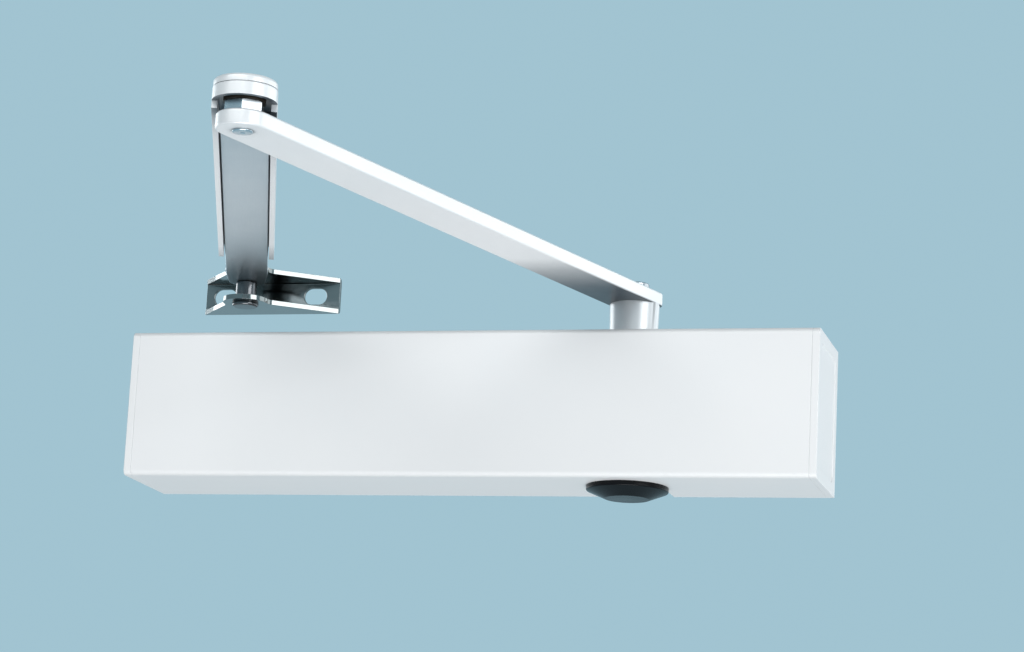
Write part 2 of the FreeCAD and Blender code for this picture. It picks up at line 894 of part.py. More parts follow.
def bracket():
    low = bracket_top - bracket_height
    form = flange_outline(low).extrude(vec(0, 0, bracket_height))
    bend = [
        edge for edge in form.Edges
        if edge.BoundBox.YMin > pivot_setback - 1e-6 and edge.BoundBox.ZLength < 1e-6
    ]
    form = form.makeFillet(bracket_corner, bend)
    inner_corners = [
        edge for edge in form.Edges
        if edge.BoundBox.ZLength > bracket_height / 2 and abs(edge.BoundBox.Center.x) < nose_radius
    ]
    form = form.makeFillet(nose_blend, inner_corners)
    hollow = box(
        (-bracket_left - 1, bracket_right + 1),
        (-nose_radius - 1, pivot_setback - bracket_sheet),
        (low + bracket_sheet, bracket_top - bracket_sheet),
    )
    form = form.cut(hollow)
    middle_z = bracket_top - bracket_height / 2
    half = slot_width / 2
    straight = (slot_length - slot_width) / 2
    for x in (-slot_left, slot_spacing - slot_left):
        slot = slot_strip(x - straight, x + straight, half, -pivot_setback - 1, 0)
        slot.rotate(vec(0, 0, 0), vec(1, 0, 0), 90)
        slot.translate(vec(0, 0, middle_z))
        form = form.cut(slot)
    form = form.cut(upright(pin_radius + seat_gap, low - 1, bracket_top + 1))
    form.translate(vec(pivot_x, pivot_y, 0))
    return form.removeSplitter()


def bracket_pin():
    # Riveted at both ends, with a shoulder that keeps the bar up against the upper flange
    low = bracket_top - bracket_height
    foot = upright(pin_head_radius, low - pin_foot, low)
    shoulder = upright(pin_shoulder_radius, low + bracket_sheet, bar_low - free_gap)
    head = upright(pin_head_radius, bracket_top, bracket_top + pin_head)
    pin = foot.fuse([upright(pin_radius, low, bracket_top), shoulder, head]).removeSplitter()
    return placed(pin, pivot_x, pivot_y, 0)


nodes = {
    "cover": cover,
    "left_end_cap": left_end_cap,
    "right_end_cap": right_end_cap,
    "spindle_cap": spindle_cap,
    "housing": housing,
    "left_end_plug": left_end_plug,
    "right_end_plug": right_end_plug,
    "pinion": pinion,
    "upper_bearing": upper_bearing,
    "lower_bearing": lambda: mirrored_down(upper_bearing()),
    "upper_shaft_seal": upper_shaft_seal,
    "lower_shaft_seal": lambda: mirrored_down(upper_shaft_seal()),
    "piston": piston,
    "check_valve": check_valve,
    "closing_spring": closing_spring,
    "spring_seat": spring_seat,
    "power_screw": power_screw,
    "closing_valve": lambda: valve(0),
    "latching_valve": lambda: valve(1),
    "backcheck_valve": lambda: valve(2),
    "main_arm": main_arm,
    "arm_screw": arm_screw,
    "elbow_stud": elbow_stud,
    "elbow_bush": elbow_bush,
    "elbow_clip": elbow_clip,
    "elbow_cap": elbow_cap,
    "forearm_channel": forearm_channel,
    "forearm_bar": forearm_bar,
    "clamp_screw": clamp_screw,
    "bracket": bracket,
    "bracket_pin": bracket_pin,
}

os.makedirs("parts", exist_ok=True)
for name, build in nodes.items():
    shape = build()
    shape.exportStep("parts/" + name + ".step")
    print(name, len(shape.Solids), "solid", round(shape.Volume / 1000, 2), "cm3", shape.isValid())
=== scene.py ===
import json
import math

import bmesh
import bpy
from mathutils import Matrix, Vector


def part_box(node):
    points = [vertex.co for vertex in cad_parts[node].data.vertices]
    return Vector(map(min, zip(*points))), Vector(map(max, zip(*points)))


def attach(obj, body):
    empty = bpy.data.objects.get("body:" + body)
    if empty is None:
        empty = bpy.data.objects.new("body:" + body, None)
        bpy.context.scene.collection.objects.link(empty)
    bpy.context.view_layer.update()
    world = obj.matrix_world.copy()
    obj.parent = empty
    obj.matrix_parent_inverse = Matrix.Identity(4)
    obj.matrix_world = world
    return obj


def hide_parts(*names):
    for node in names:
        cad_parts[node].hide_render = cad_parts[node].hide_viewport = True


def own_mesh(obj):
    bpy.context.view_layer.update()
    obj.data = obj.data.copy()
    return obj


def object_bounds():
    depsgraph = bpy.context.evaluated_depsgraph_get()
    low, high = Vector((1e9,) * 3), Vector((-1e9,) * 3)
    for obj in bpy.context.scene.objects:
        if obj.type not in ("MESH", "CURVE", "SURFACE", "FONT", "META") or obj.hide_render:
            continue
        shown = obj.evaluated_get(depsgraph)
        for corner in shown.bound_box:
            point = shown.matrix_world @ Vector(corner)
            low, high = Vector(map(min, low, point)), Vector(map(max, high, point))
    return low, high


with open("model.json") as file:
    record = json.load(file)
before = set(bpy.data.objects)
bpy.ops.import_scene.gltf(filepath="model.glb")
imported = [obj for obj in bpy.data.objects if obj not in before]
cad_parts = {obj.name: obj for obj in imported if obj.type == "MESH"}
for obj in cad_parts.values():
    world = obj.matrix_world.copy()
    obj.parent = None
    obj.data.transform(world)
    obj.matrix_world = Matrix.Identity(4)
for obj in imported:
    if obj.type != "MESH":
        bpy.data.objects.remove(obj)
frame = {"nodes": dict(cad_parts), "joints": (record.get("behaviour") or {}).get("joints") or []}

cadLow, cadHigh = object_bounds()
nodes = frame["nodes"]
joints = {joint["name"]: joint for joint in frame["joints"]}
spindleAt = Vector(joints["arm_swing"]["pos_m"])
elbowAt = Vector(joints["elbow"]["pos_m"])
pivotAt = Vector(joints["bracket_pivot"]["pos_m"])
armRun = (elbowAt - spindleAt).xy
forearmRun = (pivotAt - elbowAt).xy
armTurn = math.atan2(armRun.y, armRun.x)
forearmTurn = math.atan2(forearmRun.y, forearmRun.x)
mm = 0.001
print("stage: frame loaded, arm", round(armRun.length, 4), "m, forearm", round(forearmRun.length, 4), "m")


# Outlines, as lists of 2-D points that run anticlockwise

def filleted(corners, steps=6):
    # Each corner is x, y and the radius of its arc
    points = []
    for index, (x, y, radius) in enumerate(corners):
        here = Vector((x, y))
        if radius <= 0:
            points.append(here)
            continue
        back = (Vector(corners[index - 1][:2]) - here).normalized()
        ahead = (Vector(corners[(index + 1) % len(corners)][:2]) - here).normalized()
        half = back.angle(ahead) / 2
        centre = here + (back + ahead).normalized() * radius / math.sin(half)
        first = here + back * radius / math.tan(half) - centre
        last = here + ahead * radius / math.tan(half) - centre
        sweep = math.atan2(first.x * last.y - first.y * last.x, first.dot(last))
        for step in range(steps + 1):
            turn = sweep * step / steps
            points.append(centre + Matrix.Rotation(turn, 2) @ first)
    return points


def arcPoints(x, y, radius, start, end, steps):
    angles = [start + (end - start) * step / steps for step in range(steps + 1)]
    return [Vector((x + radius * math.cos(a), y + radius * math.sin(a))) for a in angles]


def circle(radius, steps=72, x=0.0):
    return arcPoints(x, 0, radius, 0, 2 * math.pi, steps)[:-1]


def hexagon(flats, turn=0.0):
    return arcPoints(0, 0, flats / math.sqrt(3), turn, turn + 2 * math.pi, steps=6)[:-1]


def tongue(end, half):
    # Round about the origin and square at its end
    nose = arcPoints(0, 0, half, math.pi / 2, 3 * math.pi / 2, steps=40)
    return nose + [Vector((end, -half)), Vector((end, half))]


def capsule(start, end, half, steps):
    return (arcPoints(start, 0, half, math.pi / 2, 3 * math.pi / 2, steps)
            + arcPoints(end, 0, half, -math.pi / 2, math.pi / 2, steps))


def rectangle(xSpan, ySpan):
    (left, right), (foot, top) = xSpan, ySpan
    return [Vector(corner) for corner in ((left, foot), (right, foot), (right, top), (left, top))]


def inset(points, distance):
    # Moves an outline inwards by the same distance everywhere
    moved = []
    count = len(points)
    for index, here in enumerate(points):
        back = (here - points[index - 1]).normalized()
        ahead = (points[(index + 1) % count] - here).normalized()
        normals = [Vector((-side.y, side.x)) for side in (back, ahead)]
        total = normals[0] + normals[1]
        moved.append(here + total * distance / max(1 + normals[0].dot(normals[1]), sharpest))
    return moved


# Meshes

spare = 1.0 * mm  # How far a cutter runs past the face it opens
beyond = 50.0 * mm  # Past every piece, for cutters that leave a side open
mergeWithin = 0.0001 * mm
leastRadius = 0.01 * mm  # Keeps the middle of a turned face a ring
rimSteps = 4
sharpest = 0.3  # Holds back the points of very sharp corners


def newObject(name, data):
    made = bpy.data.objects.new(name, data)
    bpy.context.scene.collection.objects.link(made)
    return made


def pieceFrom(name, work):
    bmesh.ops.remove_doubles(work, verts=work.verts, dist=mergeWithin)
    bmesh.ops.recalc_face_normals(work, faces=work.faces)
    mesh = bpy.data.meshes.new(name)
    work.to_mesh(mesh)
    work.free()
    return newObject(name, mesh)


def lofted(name, rings):
    # Quads between rings of equal length, with a face at both ends
    work = bmesh.new()
    loops = [[work.verts.new(point) for point in ring] for ring in rings]
    for here, there in zip(loops, loops[1:]):
        for index in range(len(here)):
            after = (index + 1) % len(here)
            work.faces.new((here[index], here[after], there[after], there[index]))
    work.faces.new(loops[0])
    work.faces.new(loops[-1])
    return pieceFrom(name, work)


def tower(name, outline, levels):
    # Levels are height and inset, from the foot to the top
    rings = []
    for height, distance in levels:
        ring = inset(outline, distance) if distance else outline
        rings.append([Vector((point.x, point.y, height)) for point in ring])
    return lofted(name, rings)


def plate(name, outline, low, high, lowRim=0.0, highRim=0.0):
    # Both rims can be rounded
    turns = [math.pi / 2 * step / rimSteps for step in range(rimSteps + 1)]
    arc = [(1 - math.cos(turn), 1 - math.sin(turn)) for turn in turns]
    foot = [(low + lowRim * rise, lowRim * run) for rise, run in arc]
    top = [(high - highRim * rise, highRim * run) for rise, run in reversed(arc)]
    return tower(name, outline, (foot if lowRim else foot[-1:]) + (top if highRim else top[:1]))


def turned(name, corners, arcSteps=6, steps=96):
    # Turns an outline about the Z axis; each corner is radius, height and the radius of its arc
    rings = []
    for radius, height in filleted(corners, arcSteps):
        ring = circle(max(radius, leastRadius), steps)
        rings.append([Vector((point.x, point.y, height)) for point in ring])
    return lofted(name, rings)


def reshaped(piece, matrix):
    piece.data.transform(matrix)
    return piece


def placedAt(piece, point, turn=0.0):
    return reshaped(piece, Matrix.Translation((point.x, point.y, 0)) @ Matrix.Rotation(turn, 4, "Z"))


alongX = Matrix(((0, 0, 1, 0), (1, 0, 0, 0), (0, 1, 0, 0), (0, 0, 0, 1)))


def combined(piece, tool, operation):
    # Applies a boolean and removes the tool
    step = piece.modifiers.new("combine", "BOOLEAN")
    step.operation = operation
    step.solver = "EXACT"
    step.object = tool
    bpy.context.view_layer.update()
    result = bpy.data.meshes.new_from_object(piece.evaluated_get(bpy.context.evaluated_depsgraph_get()))
    piece.modifiers.clear()
    result.name = piece.name
    piece.data = result
    bpy.data.objects.remove(tool)
    return piece


def cutAway(piece, *tools):
    for tool in tools:
        combined(piece, tool, "DIFFERENCE")
    return piece


def holeLevels(low, high, chamfer):
    # A cutter that leaves a chamfer at both mouths
    past = 0.5 * mm
    mouth = -chamfer - past
    return [(low - past, mouth), (low + chamfer, 0), (high - chamfer, 0), (high + past, mouth)]


def softEdges(piece, width, angle):
    # Rounds what is still sharp and keeps flat faces flat
    for polygon in piece.data.polygons:
        polygon.use_smooth = True
    bevel = piece.modifiers.new("softEdges", "BEVEL")
    bevel.width = width
    bevel.segments = 3
    bevel.limit_method = "ANGLE"
    bevel.angle_limit = math.radians(angle)
    weighted = piece.modifiers.new("flatFaces", "WEIGHTED_NORMAL")
    weighted.keep_sharp = True


# Shader groups: each puts out one value that changes over the surface

noiseShapes = {  # Detail and roughness
    "wear": (4.0, 0.55), "paintedShade": (3.0, 0.55), "mottle": (5.0, 0.6), "brushed": (4.0, 0.6),
    "lathe": (3.0, 0.6), "peel": (1.0, 0.55), "grain": (5.0, 0.65),
}
wearShape = {"samples": 6, "gain": 6.0, "patchLow": 0.42, "patchGain": 5.0}
# How the painted shade is spread and broken up
paintedShadeShape = {"samples": 8, "open": 0.12, "gain": 1.5, "patchScale": 160.0, "patchShare": 0.5, "least": 0.75,
             "underSamples": 16}
mottleSpan = (0.3, 0.7)


def newGroup(name, inputs):
    tree = bpy.data.node_groups.new(name, "ShaderNodeTree")
    for label, value in inputs.items():
        kind = "NodeSocketVector" if isinstance(value, tuple) else "NodeSocketFloat"
        socket = tree.interface.new_socket(name=label, in_out="INPUT", socket_type=kind)
        socket.default_value = value
    tree.interface.new_socket(name="Value", in_out="OUTPUT", socket_type="NodeSocketFloat")
    return tree, tree.nodes.new("NodeGroupInput").outputs, tree.nodes.new("NodeGroupOutput").inputs[0]


def feed(tree, socket, value):
    # Links what another node puts out, and sets what is plain
    if isinstance(value, bpy.types.NodeSocket):
        tree.links.new(value, socket)
    else:
        socket.default_value = value


def worked(tree, kind, operation, values):
    node = tree.nodes.new(kind)
    node.operation = operation
    for socket, value in zip(node.inputs, values):
        feed(tree, socket, value)
    return node


def mathNode(tree, operation, *values, clamp=False):
    node = worked(tree, "ShaderNodeMath", operation, values)
    node.use_clamp = clamp
    return node.outputs[0]


def vectorNode(tree, operation, *values, output="Vector"):
    return worked(tree, "ShaderNodeVectorMath", operation, values).outputs[output]


def objectPlace(tree):
    return tree.nodes.new("ShaderNodeTexCoord").outputs["Object"]


def noiseOf(tree, kind, scale, place=None):
    noise = tree.nodes.new("ShaderNodeTexNoise")
    noise.inputs["Detail"].default_value, noise.inputs["Roughness"].default_value = noiseShapes[kind]
    feed(tree, noise.inputs["Vector"], objectPlace(tree) if place is None else place)
    feed(tree, noise.inputs["Scale"], scale)
    return noise.outputs["Fac"]


def product(tree, *factors):
    # Kept between 0 and 1 at the end
    value = factors[0]
    for factor in factors[1:-1]:
        value = mathNode(tree, "MULTIPLY", value, factor)
    return mathNode(tree, "MULTIPLY", value, factors[-1], clamp=True)


def closeness(tree, reach, samples):
    # How much stands within reach of the surface, from 0 to 1
    near = tree.nodes.new("ShaderNodeAmbientOcclusion")
    near.samples = samples
    feed(tree, near.inputs["Distance"], reach)
    return mathNode(tree, "SUBTRACT", 1.0, near.outputs["AO"])


def edgeWearGroup():
    # Light rubbing along edges, broken up by noise
    tree, given, result = newGroup("edgeWear", {"Radius": 0.5 * mm, "Break Up": 400.0, "Amount": 1.0})
    bevel = tree.nodes.new("ShaderNodeBevel")
    bevel.samples = wearShape["samples"]
    feed(tree, bevel.inputs["Radius"], given["Radius"])
    surface = tree.nodes.new("ShaderNodeNewGeometry")
    flat = vectorNode(tree, "DOT_PRODUCT", bevel.outputs["Normal"], surface.outputs["Normal"], output="Value")
    edge = product(tree, mathNode(tree, "SUBTRACT", 1.0, flat), wearShape["gain"])
    patches = mathNode(tree, "SUBTRACT", noiseOf(tree, "wear", given["Break Up"]), wearShape["patchLow"])
    patches = product(tree, patches, wearShape["patchGain"])
    feed(tree, result, product(tree, edge, patches, given["Amount"]))
    return tree


def hollowShadeGroup():
    # Painted shade: darkens where surfaces stand close together, and reaches wider on faces that look down
    tree, given, result = newGroup("hollows", {"Reach": 8.0 * mm, "Amount": 0.6, "Under Reach": 60.0 * mm,
                                               "Under": 0.0})
    closed = closeness(tree, given["Reach"], paintedShadeShape["samples"])
    closed = product(tree, mathNode(tree, "SUBTRACT", closed, paintedShadeShape["open"]), paintedShadeShape["gain"])
    patches = product(tree, noiseOf(tree, "paintedShade", paintedShadeShape["patchScale"]), paintedShadeShape["patchShare"])
    patches = mathNode(tree, "ADD", patches, paintedShadeShape["least"])
    closed = product(tree, closed, patches, given["Amount"])
    below = mathNode(tree, "SQRT", closeness(tree, given["Under Reach"], paintedShadeShape["underSamples"]))
    facing = tree.nodes.new("ShaderNodeSeparateXYZ")
    feed(tree, facing.inputs[0], tree.nodes.new("ShaderNodeNewGeometry").outputs["Normal"])
    below = product(tree, below, product(tree, facing.outputs["Z"], -1.0), given["Under"])
    feed(tree, result, mathNode(tree, "MAXIMUM", closed, below))
    return tree


def mottleGroup():
    # Soft patches between two values
    tree, given, result = newGroup("mottle", {"Scale": 40.0, "Low": 0.0, "High": 1.0})
    noise = noiseOf(tree, "mottle", given["Scale"])
    feed(tree, result, spreadValue(tree, noise, given["Low"], given["High"], *mottleSpan))
    return tree


def brushedGroup():
    # Fine lines along X after a turn about Z
    tree, given, result = newGroup("brushed", {"Turn": (0.0, 0.0, 0.0), "Stretch": (30.0, 2500.0, 2500.0)})
    turnNode = tree.nodes.new("ShaderNodeMapping")
    feed(tree, turnNode.inputs["Vector"], objectPlace(tree))
    feed(tree, turnNode.inputs["Rotation"], given["Turn"])
    stretched = vectorNode(tree, "MULTIPLY", turnNode.outputs["Vector"], given["Stretch"])
    feed(tree, result, noiseOf(tree, "brushed", 1.0, stretched))
    return tree


def latheGroup():
    # Turning marks: rings round an axis through Centre; Across is 1 in the directions that cross the axis
    tree, given, result = newGroup("latheMarks", {"Centre": (0.0, 0.0, 0.0), "Across": (1.0, 1.0, 0.0),
                                                  "Scale": 2200.0})
    offset = vectorNode(tree, "SUBTRACT", objectPlace(tree), given["Centre"])
    flat = vectorNode(tree, "MULTIPLY", offset, given["Across"])
    radius = vectorNode(tree, "LENGTH", flat, output="Value")
    along = vectorNode(tree, "SUBTRACT", offset, flat)
    height = vectorNode(tree, "DOT_PRODUCT", along, (1.0, 1.0, 1.0), output="Value")
    rings = tree.nodes.new("ShaderNodeCombineXYZ")
    for label, value in (("X", radius), ("Y", height)):
        feed(tree, rings.inputs[label], mathNode(tree, "MULTIPLY", value, given["Scale"]))
    feed(tree, result, noiseOf(tree, "lathe", 1.0, rings.outputs["Vector"]))
    return tree


def spreadValue(tree, mask, low, high, fromLow=0.0, fromHigh=1.0):
    spread = tree.nodes.new("ShaderNodeMapRange")
    for label, value in zip(("Value", "From Min", "From Max", "To Min", "To Max"),
                            (mask, fromLow, fromHigh, low, high)):
        feed(tree, spread.inputs[label], value)
    return spread.outputs["Result"]


groups = {
    "edgeWear": edgeWearGroup(),
    "hollows": hollowShadeGroup(),
    "mottle": mottleGroup(),
    "brushed": brushedGroup(),
    "latheMarks": latheGroup(),
}


# Materials

plainSockets = {"Metallic": "metallic", "Roughness": "roughness", "Coat Weight": "coat",
                "Coat Roughness": "coatRoughness", "Specular IOR Level": "specular"}


def nodeOf(tree, kind):
    return next(node for node in tree.nodes if node.type == kind)


def plainMaterial(name):
    material = bpy.data.materials.new(name)
    material.use_nodes = True
    return material, material.node_tree, nodeOf(material.node_tree, "BSDF_PRINCIPLED")


def newMaterial(name, look):
    # Returns the material, its tree and its main shader with the plain numbers set
    material, tree, shader = plainMaterial(name)
    for label, key in plainSockets.items():
        shader.inputs[label].default_value = look[key]
    return material, tree, shader


def placedGroup(tree, name, **values):
    node = tree.nodes.new("ShaderNodeGroup")
    node.node_tree = groups[name]
    for label, value in values.items():
        node.inputs[label].default_value = value
    return node.outputs[0]


def mixedColour(tree, mask, first, second):
    mix = tree.nodes.new("ShaderNodeMix")
    mix.data_type = "RGBA"
    feed(tree, mix.inputs["Factor"], mask)
    for label, value in (("A", first), ("B", second)):
        feed(tree, mix.inputs[label], (*value, 1.0) if isinstance(value, tuple) else value)
    return mix.outputs["Result"]


def coloured(tree, shader, look):
    # Patches of two tones, rubbed edges, then painted shade where surfaces stand close together and under
    # faces that look down; returns the rubbing
    patches = placedGroup(tree, "mottle", Scale=look["patchScale"])
    colour = mixedColour(tree, patches, look["colour"], look["patchColour"])
    wear = placedGroup(tree, "edgeWear", Radius=look["wearRadius"], Amount=look["wear"])
    colour = mixedColour(tree, wear, colour, look["wearColour"])
    paintedShade = placedGroup(tree, "hollows", Reach=look["paintedShadeReach"], Amount=look["paintedShade"], Under=look["under"])
    feed(tree, shader.inputs["Base Color"], mixedColour(tree, paintedShade, colour, look["paintedShadeColour"]))
    return wear


def roughnessRange(look):
    smoother, rougher = look["roughnessSpread"]
    return look["roughness"] - smoother, look["roughness"] + rougher


def bumped(tree, shader, height, distance):
    bump = tree.nodes.new("ShaderNodeBump")
    bump.inputs["Distance"].default_value = distance
    feed(tree, bump.inputs["Height"], height)
    feed(tree, shader.inputs["Normal"], bump.outputs["Normal"])


def patterned(tree, shader, look, pattern, depth):
    # Colour, with a pattern that roughens and raises the surface
    coloured(tree, shader, look)
    feed(tree, shader.inputs["Roughness"], spreadValue(tree, pattern, *roughnessRange(look)))
    bumped(tree, shader, pattern, depth)


def lacquer(name, look):
    # Sprayed paint: faint patches, orange peel and rubbed edges
    material, tree, shader = newMaterial(name, look)
    wear = coloured(tree, shader, look)
    smoothest, roughest = roughnessRange(look)
    smudges = placedGroup(tree, "mottle", Scale=look["smudgeScale"], Low=smoothest, High=roughest)
    rubbed = product(tree, wear, look["wearRoughness"])
    feed(tree, shader.inputs["Roughness"], mathNode(tree, "ADD", smudges, rubbed))
    bumped(tree, shader, noiseOf(tree, "peel", look["peelScale"]), look["peelDepth"])
    return material


def brushedMetal(name, look):
    # Plated or drawn metal with lines along the piece
    material, tree, shader = newMaterial(name, look)
    lines = placedGroup(tree, "brushed", Turn=(0.0, 0.0, -look["turn"]), Stretch=look["stretch"])
    patterned(tree, shader, look, lines, look["lineDepth"])
    return material


def turnedMetal(name, look):
    # Metal from the lathe, with rings round its own axis
    material, tree, shader = newMaterial(name, look)
    marks = placedGroup(tree, "latheMarks", Centre=tuple(look["centre"]), Across=look["across"],
                        Scale=look["markScale"])
    patterned(tree, shader, look, marks, look["markDepth"])
    return material


def castMetal(name, look):
    # Sand-fine cast skin, with painted shade darkening its recesses
    material, tree, shader = newMaterial(name, look)
    grain = noiseOf(tree, "grain", look["grainScale"])
    patterned(tree, shader, look, grain, look["grainDepth"])
    return material


# Every material gets painted shade: its shade colour is mixed in where surfaces stand close together
lookBasics = {
    "metallic": 0.0, "coat": 0.0, "coatRoughness": 0.1, "specular": 0.5, "roughnessSpread": (0.05, 0.08),
    "patchScale": 90.0, "wearRadius": 0.3 * mm, "wearRoughness": 0.15, "paintedShadeReach": 6.0 * mm, "paintedShade": 0.5,
    "under": 0.0,
}
lacquerLooks = {
    "whiteLacquer": {
        "colour": (0.82, 0.84, 0.85), "patchColour": (0.80, 0.825, 0.84), "wearColour": (0.88, 0.90, 0.90),
        # The grey shade colour paints shade inside the cover and round the spindle cap
        "paintedShadeColour": (0.40, 0.42, 0.43), "paintedShade": 0.35, "roughness": 0.46, "coat": 0.12, "coatRoughness": 0.2,
        "wear": 0.3, "wearRadius": 0.5 * mm,
        "patchScale": 14.0, "smudgeScale": 22.0, "peelScale": 420.0, "peelDepth": 0.015 * mm,
    },
    "silverLacquer": {
        "colour": (0.86, 0.875, 0.885), "patchColour": (0.83, 0.85, 0.865),
        # The near-black shade colour paints shade in recesses, and the under number paints a dark shade on
        # the arm's underside over the cover near the hub
        "wearColour": (0.93, 0.935, 0.935), "paintedShadeColour": (0.03, 0.045, 0.06),
        "paintedShade": 0.35, "paintedShadeReach": 8.0 * mm, "under": 1.6, "roughness": 0.34, "metallic": 0.22,
        "coat": 0.2, "coatRoughness": 0.16, "wear": 0.12, "wearRadius": 0.4 * mm,
        "patchScale": 18.0, "smudgeScale": 30.0, "peelScale": 320.0, "peelDepth": 0.003 * mm,
    },
    "blackGloss": {
        "colour": (0.004, 0.004, 0.005), "patchColour": (0.006, 0.006, 0.007),
        "wearColour": (0.03, 0.03, 0.034), "paintedShadeColour": (0.009, 0.009, 0.01),
        "specular": 0.12, "roughness": 0.24, "wear": 0.3, "wearRadius": 0.4 * mm,
        "patchScale": 30.0, "smudgeScale": 40.0, "peelScale": 900.0, "peelDepth": 0.008 * mm,
    },
    "sealRubber": {
        "colour": (0.02, 0.02, 0.021), "patchColour": (0.03, 0.03, 0.03), "wearColour": (0.07, 0.07, 0.07),
        "paintedShadeColour": (0.015, 0.014, 0.013), "roughness": 0.7, "wear": 0.4,
        "smudgeScale": 90.0, "peelScale": 1500.0, "peelDepth": 0.02 * mm,
    },
}
brushedBasics = {**lookBasics, "metallic": 1.0, "roughnessSpread": (0.06, 0.08), "wear": 0.7, "turn": 0.0,
                 "lineDepth": 0.01 * mm}
brushedLooks = {
    "zincSteel": {
        "colour": (0.60, 0.645, 0.675), "patchColour": (0.56, 0.61, 0.645), "wearColour": (0.76, 0.79, 0.80),
        # Painted shade in recesses and, weaker, under faces that look down
        "paintedShadeColour": (0.08, 0.09, 0.10), "paintedShade": 0.7, "under": 0.4,
        "roughness": 0.32, "turn": forearmTurn, "stretch": (60.0, 2400.0, 2400.0), "patchScale": 60.0,
    },
    "polishedNickel": {
        "colour": (0.24, 0.25, 0.245), "patchColour": (0.20, 0.21, 0.205), "wearColour": (0.70, 0.71, 0.71),
        # Strong painted shade makes the inside of the bracket's U section nearly black
        "paintedShadeColour": (0.035, 0.04, 0.038), "paintedShade": 0.9, "paintedShadeReach": 10.0 * mm,
        "roughness": 0.12, "stretch": (40.0, 1800.0, 1800.0), "lineDepth": 0.003 * mm,
        "patchScale": 45.0, "wear": 0.15,
    },
    "darkPin": {
        "colour": (0.15, 0.15, 0.155), "patchColour": (0.12, 0.12, 0.125), "wearColour": (0.40, 0.40, 0.41),
        # Strong painted shade where the pin stands close to the bracket and bar
        "paintedShadeColour": (0.03, 0.03, 0.03), "paintedShade": 0.8, "roughness": 0.2, "stretch": (40.0, 1800.0, 1800.0),
        "lineDepth": 0.003 * mm, "patchScale": 60.0, "wear": 0.15,
    },
    "springSteel": {
        "colour": (0.11, 0.11, 0.12), "patchColour": (0.16, 0.15, 0.15), "wearColour": (0.40, 0.40, 0.41),
        "paintedShadeColour": (0.05, 0.045, 0.04), "roughness": 0.38, "stretch": (1200.0, 300.0, 300.0),
        "patchScale": 80.0,
    },
}
acrossUpright = (1.0, 1.0, 0.0)
acrossBore = (0.0, 1.0, 1.0)
acrossDoor = (1.0, 0.0, 1.0)
turnedBasics = {**lookBasics, "metallic": 1.0, "wear": 0.7, "centre": spindleAt, "across": acrossUpright,
                "markDepth": 0.01 * mm}
turnedLooks = {
    "spindleSteel": {
        "colour": (0.50, 0.50, 0.51), "patchColour": (0.43, 0.43, 0.45), "wearColour": (0.72, 0.72, 0.72),
        "paintedShadeColour": (0.12, 0.11, 0.10), "roughness": 0.26, "markScale": 2600.0, "patchScale": 70.0,
    },
    "boreSteel": {
        "colour": (0.50, 0.50, 0.51), "patchColour": (0.42, 0.42, 0.44), "wearColour": (0.70, 0.70, 0.71),
        "paintedShadeColour": (0.12, 0.11, 0.10), "roughness": 0.28, "across": acrossBore, "markScale": 2400.0,
        "patchScale": 60.0,
    },
    "elbowSteel": {
        "colour": (0.62, 0.65, 0.68), "patchColour": (0.54, 0.57, 0.60), "wearColour": (0.82, 0.83, 0.84),
        "paintedShadeColour": (0.10, 0.10, 0.10), "roughness": 0.24, "centre": elbowAt, "markScale": 2600.0,
    },
    "bearingBronze": {
        "colour": (0.56, 0.36, 0.17), "patchColour": (0.46, 0.28, 0.13), "wearColour": (0.72, 0.52, 0.30),
        "paintedShadeColour": (0.12, 0.08, 0.05), "roughness": 0.4, "wear": 0.5, "markScale": 1800.0,
        "markDepth": 0.015 * mm,
    },
    "oiledBronze": {
        "colour": (0.045, 0.034, 0.024), "patchColour": (0.07, 0.05, 0.034), "wearColour": (0.22, 0.16, 0.10),
        "paintedShadeColour": (0.02, 0.017, 0.014), "metallic": 0.6, "roughness": 0.5, "wear": 0.4,
        "wearRadius": 0.25 * mm, "centre": elbowAt, "markScale": 1800.0, "markDepth": 0.015 * mm,
        "patchScale": 120.0,
    },
    "valveBrass": {
        "colour": (0.72, 0.54, 0.25), "patchColour": (0.62, 0.45, 0.20), "wearColour": (0.85, 0.70, 0.42),
        "paintedShadeColour": (0.16, 0.12, 0.06), "roughness": 0.3, "across": acrossDoor, "markScale": 2200.0,
        "wear": 0.6,
    },
}
castBasics = {**lookBasics, "metallic": 0.9, "roughnessSpread": (0.1, 0.12)}
castLooks = {
    "castAluminium": {
        "colour": (0.52, 0.53, 0.54), "patchColour": (0.42, 0.43, 0.44), "wearColour": (0.74, 0.75, 0.76),
        "paintedShadeColour": (0.14, 0.14, 0.14), "roughness": 0.5, "grainScale": 900.0, "grainDepth": 0.08 * mm,
        "patchScale": 28.0, "wear": 0.6, "wearRadius": 0.6 * mm,
    },
}
materials = {}
for makeMaterial, basics, looks in (
        (lacquer, lookBasics, lacquerLooks), (brushedMetal, brushedBasics, brushedLooks),
        (turnedMetal, turnedBasics, turnedLooks), (castMetal, castBasics, castLooks)):
    for name, look in looks.items():
        materials[name] = makeMaterial(name, {**basics, **look})
print("stage: materials made,", len(materials))


def dressed(piece, edge, material, body, slot, *replacedNodes, angle=50):
    softEdges(piece, edge, angle)
    piece.data.materials.clear()
    piece.data.materials.append(materials[material])
    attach(piece, body)
    if replacedNodes:
        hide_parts(*replacedNodes)


# Cover and end caps, drawn in Y and Z and run along X

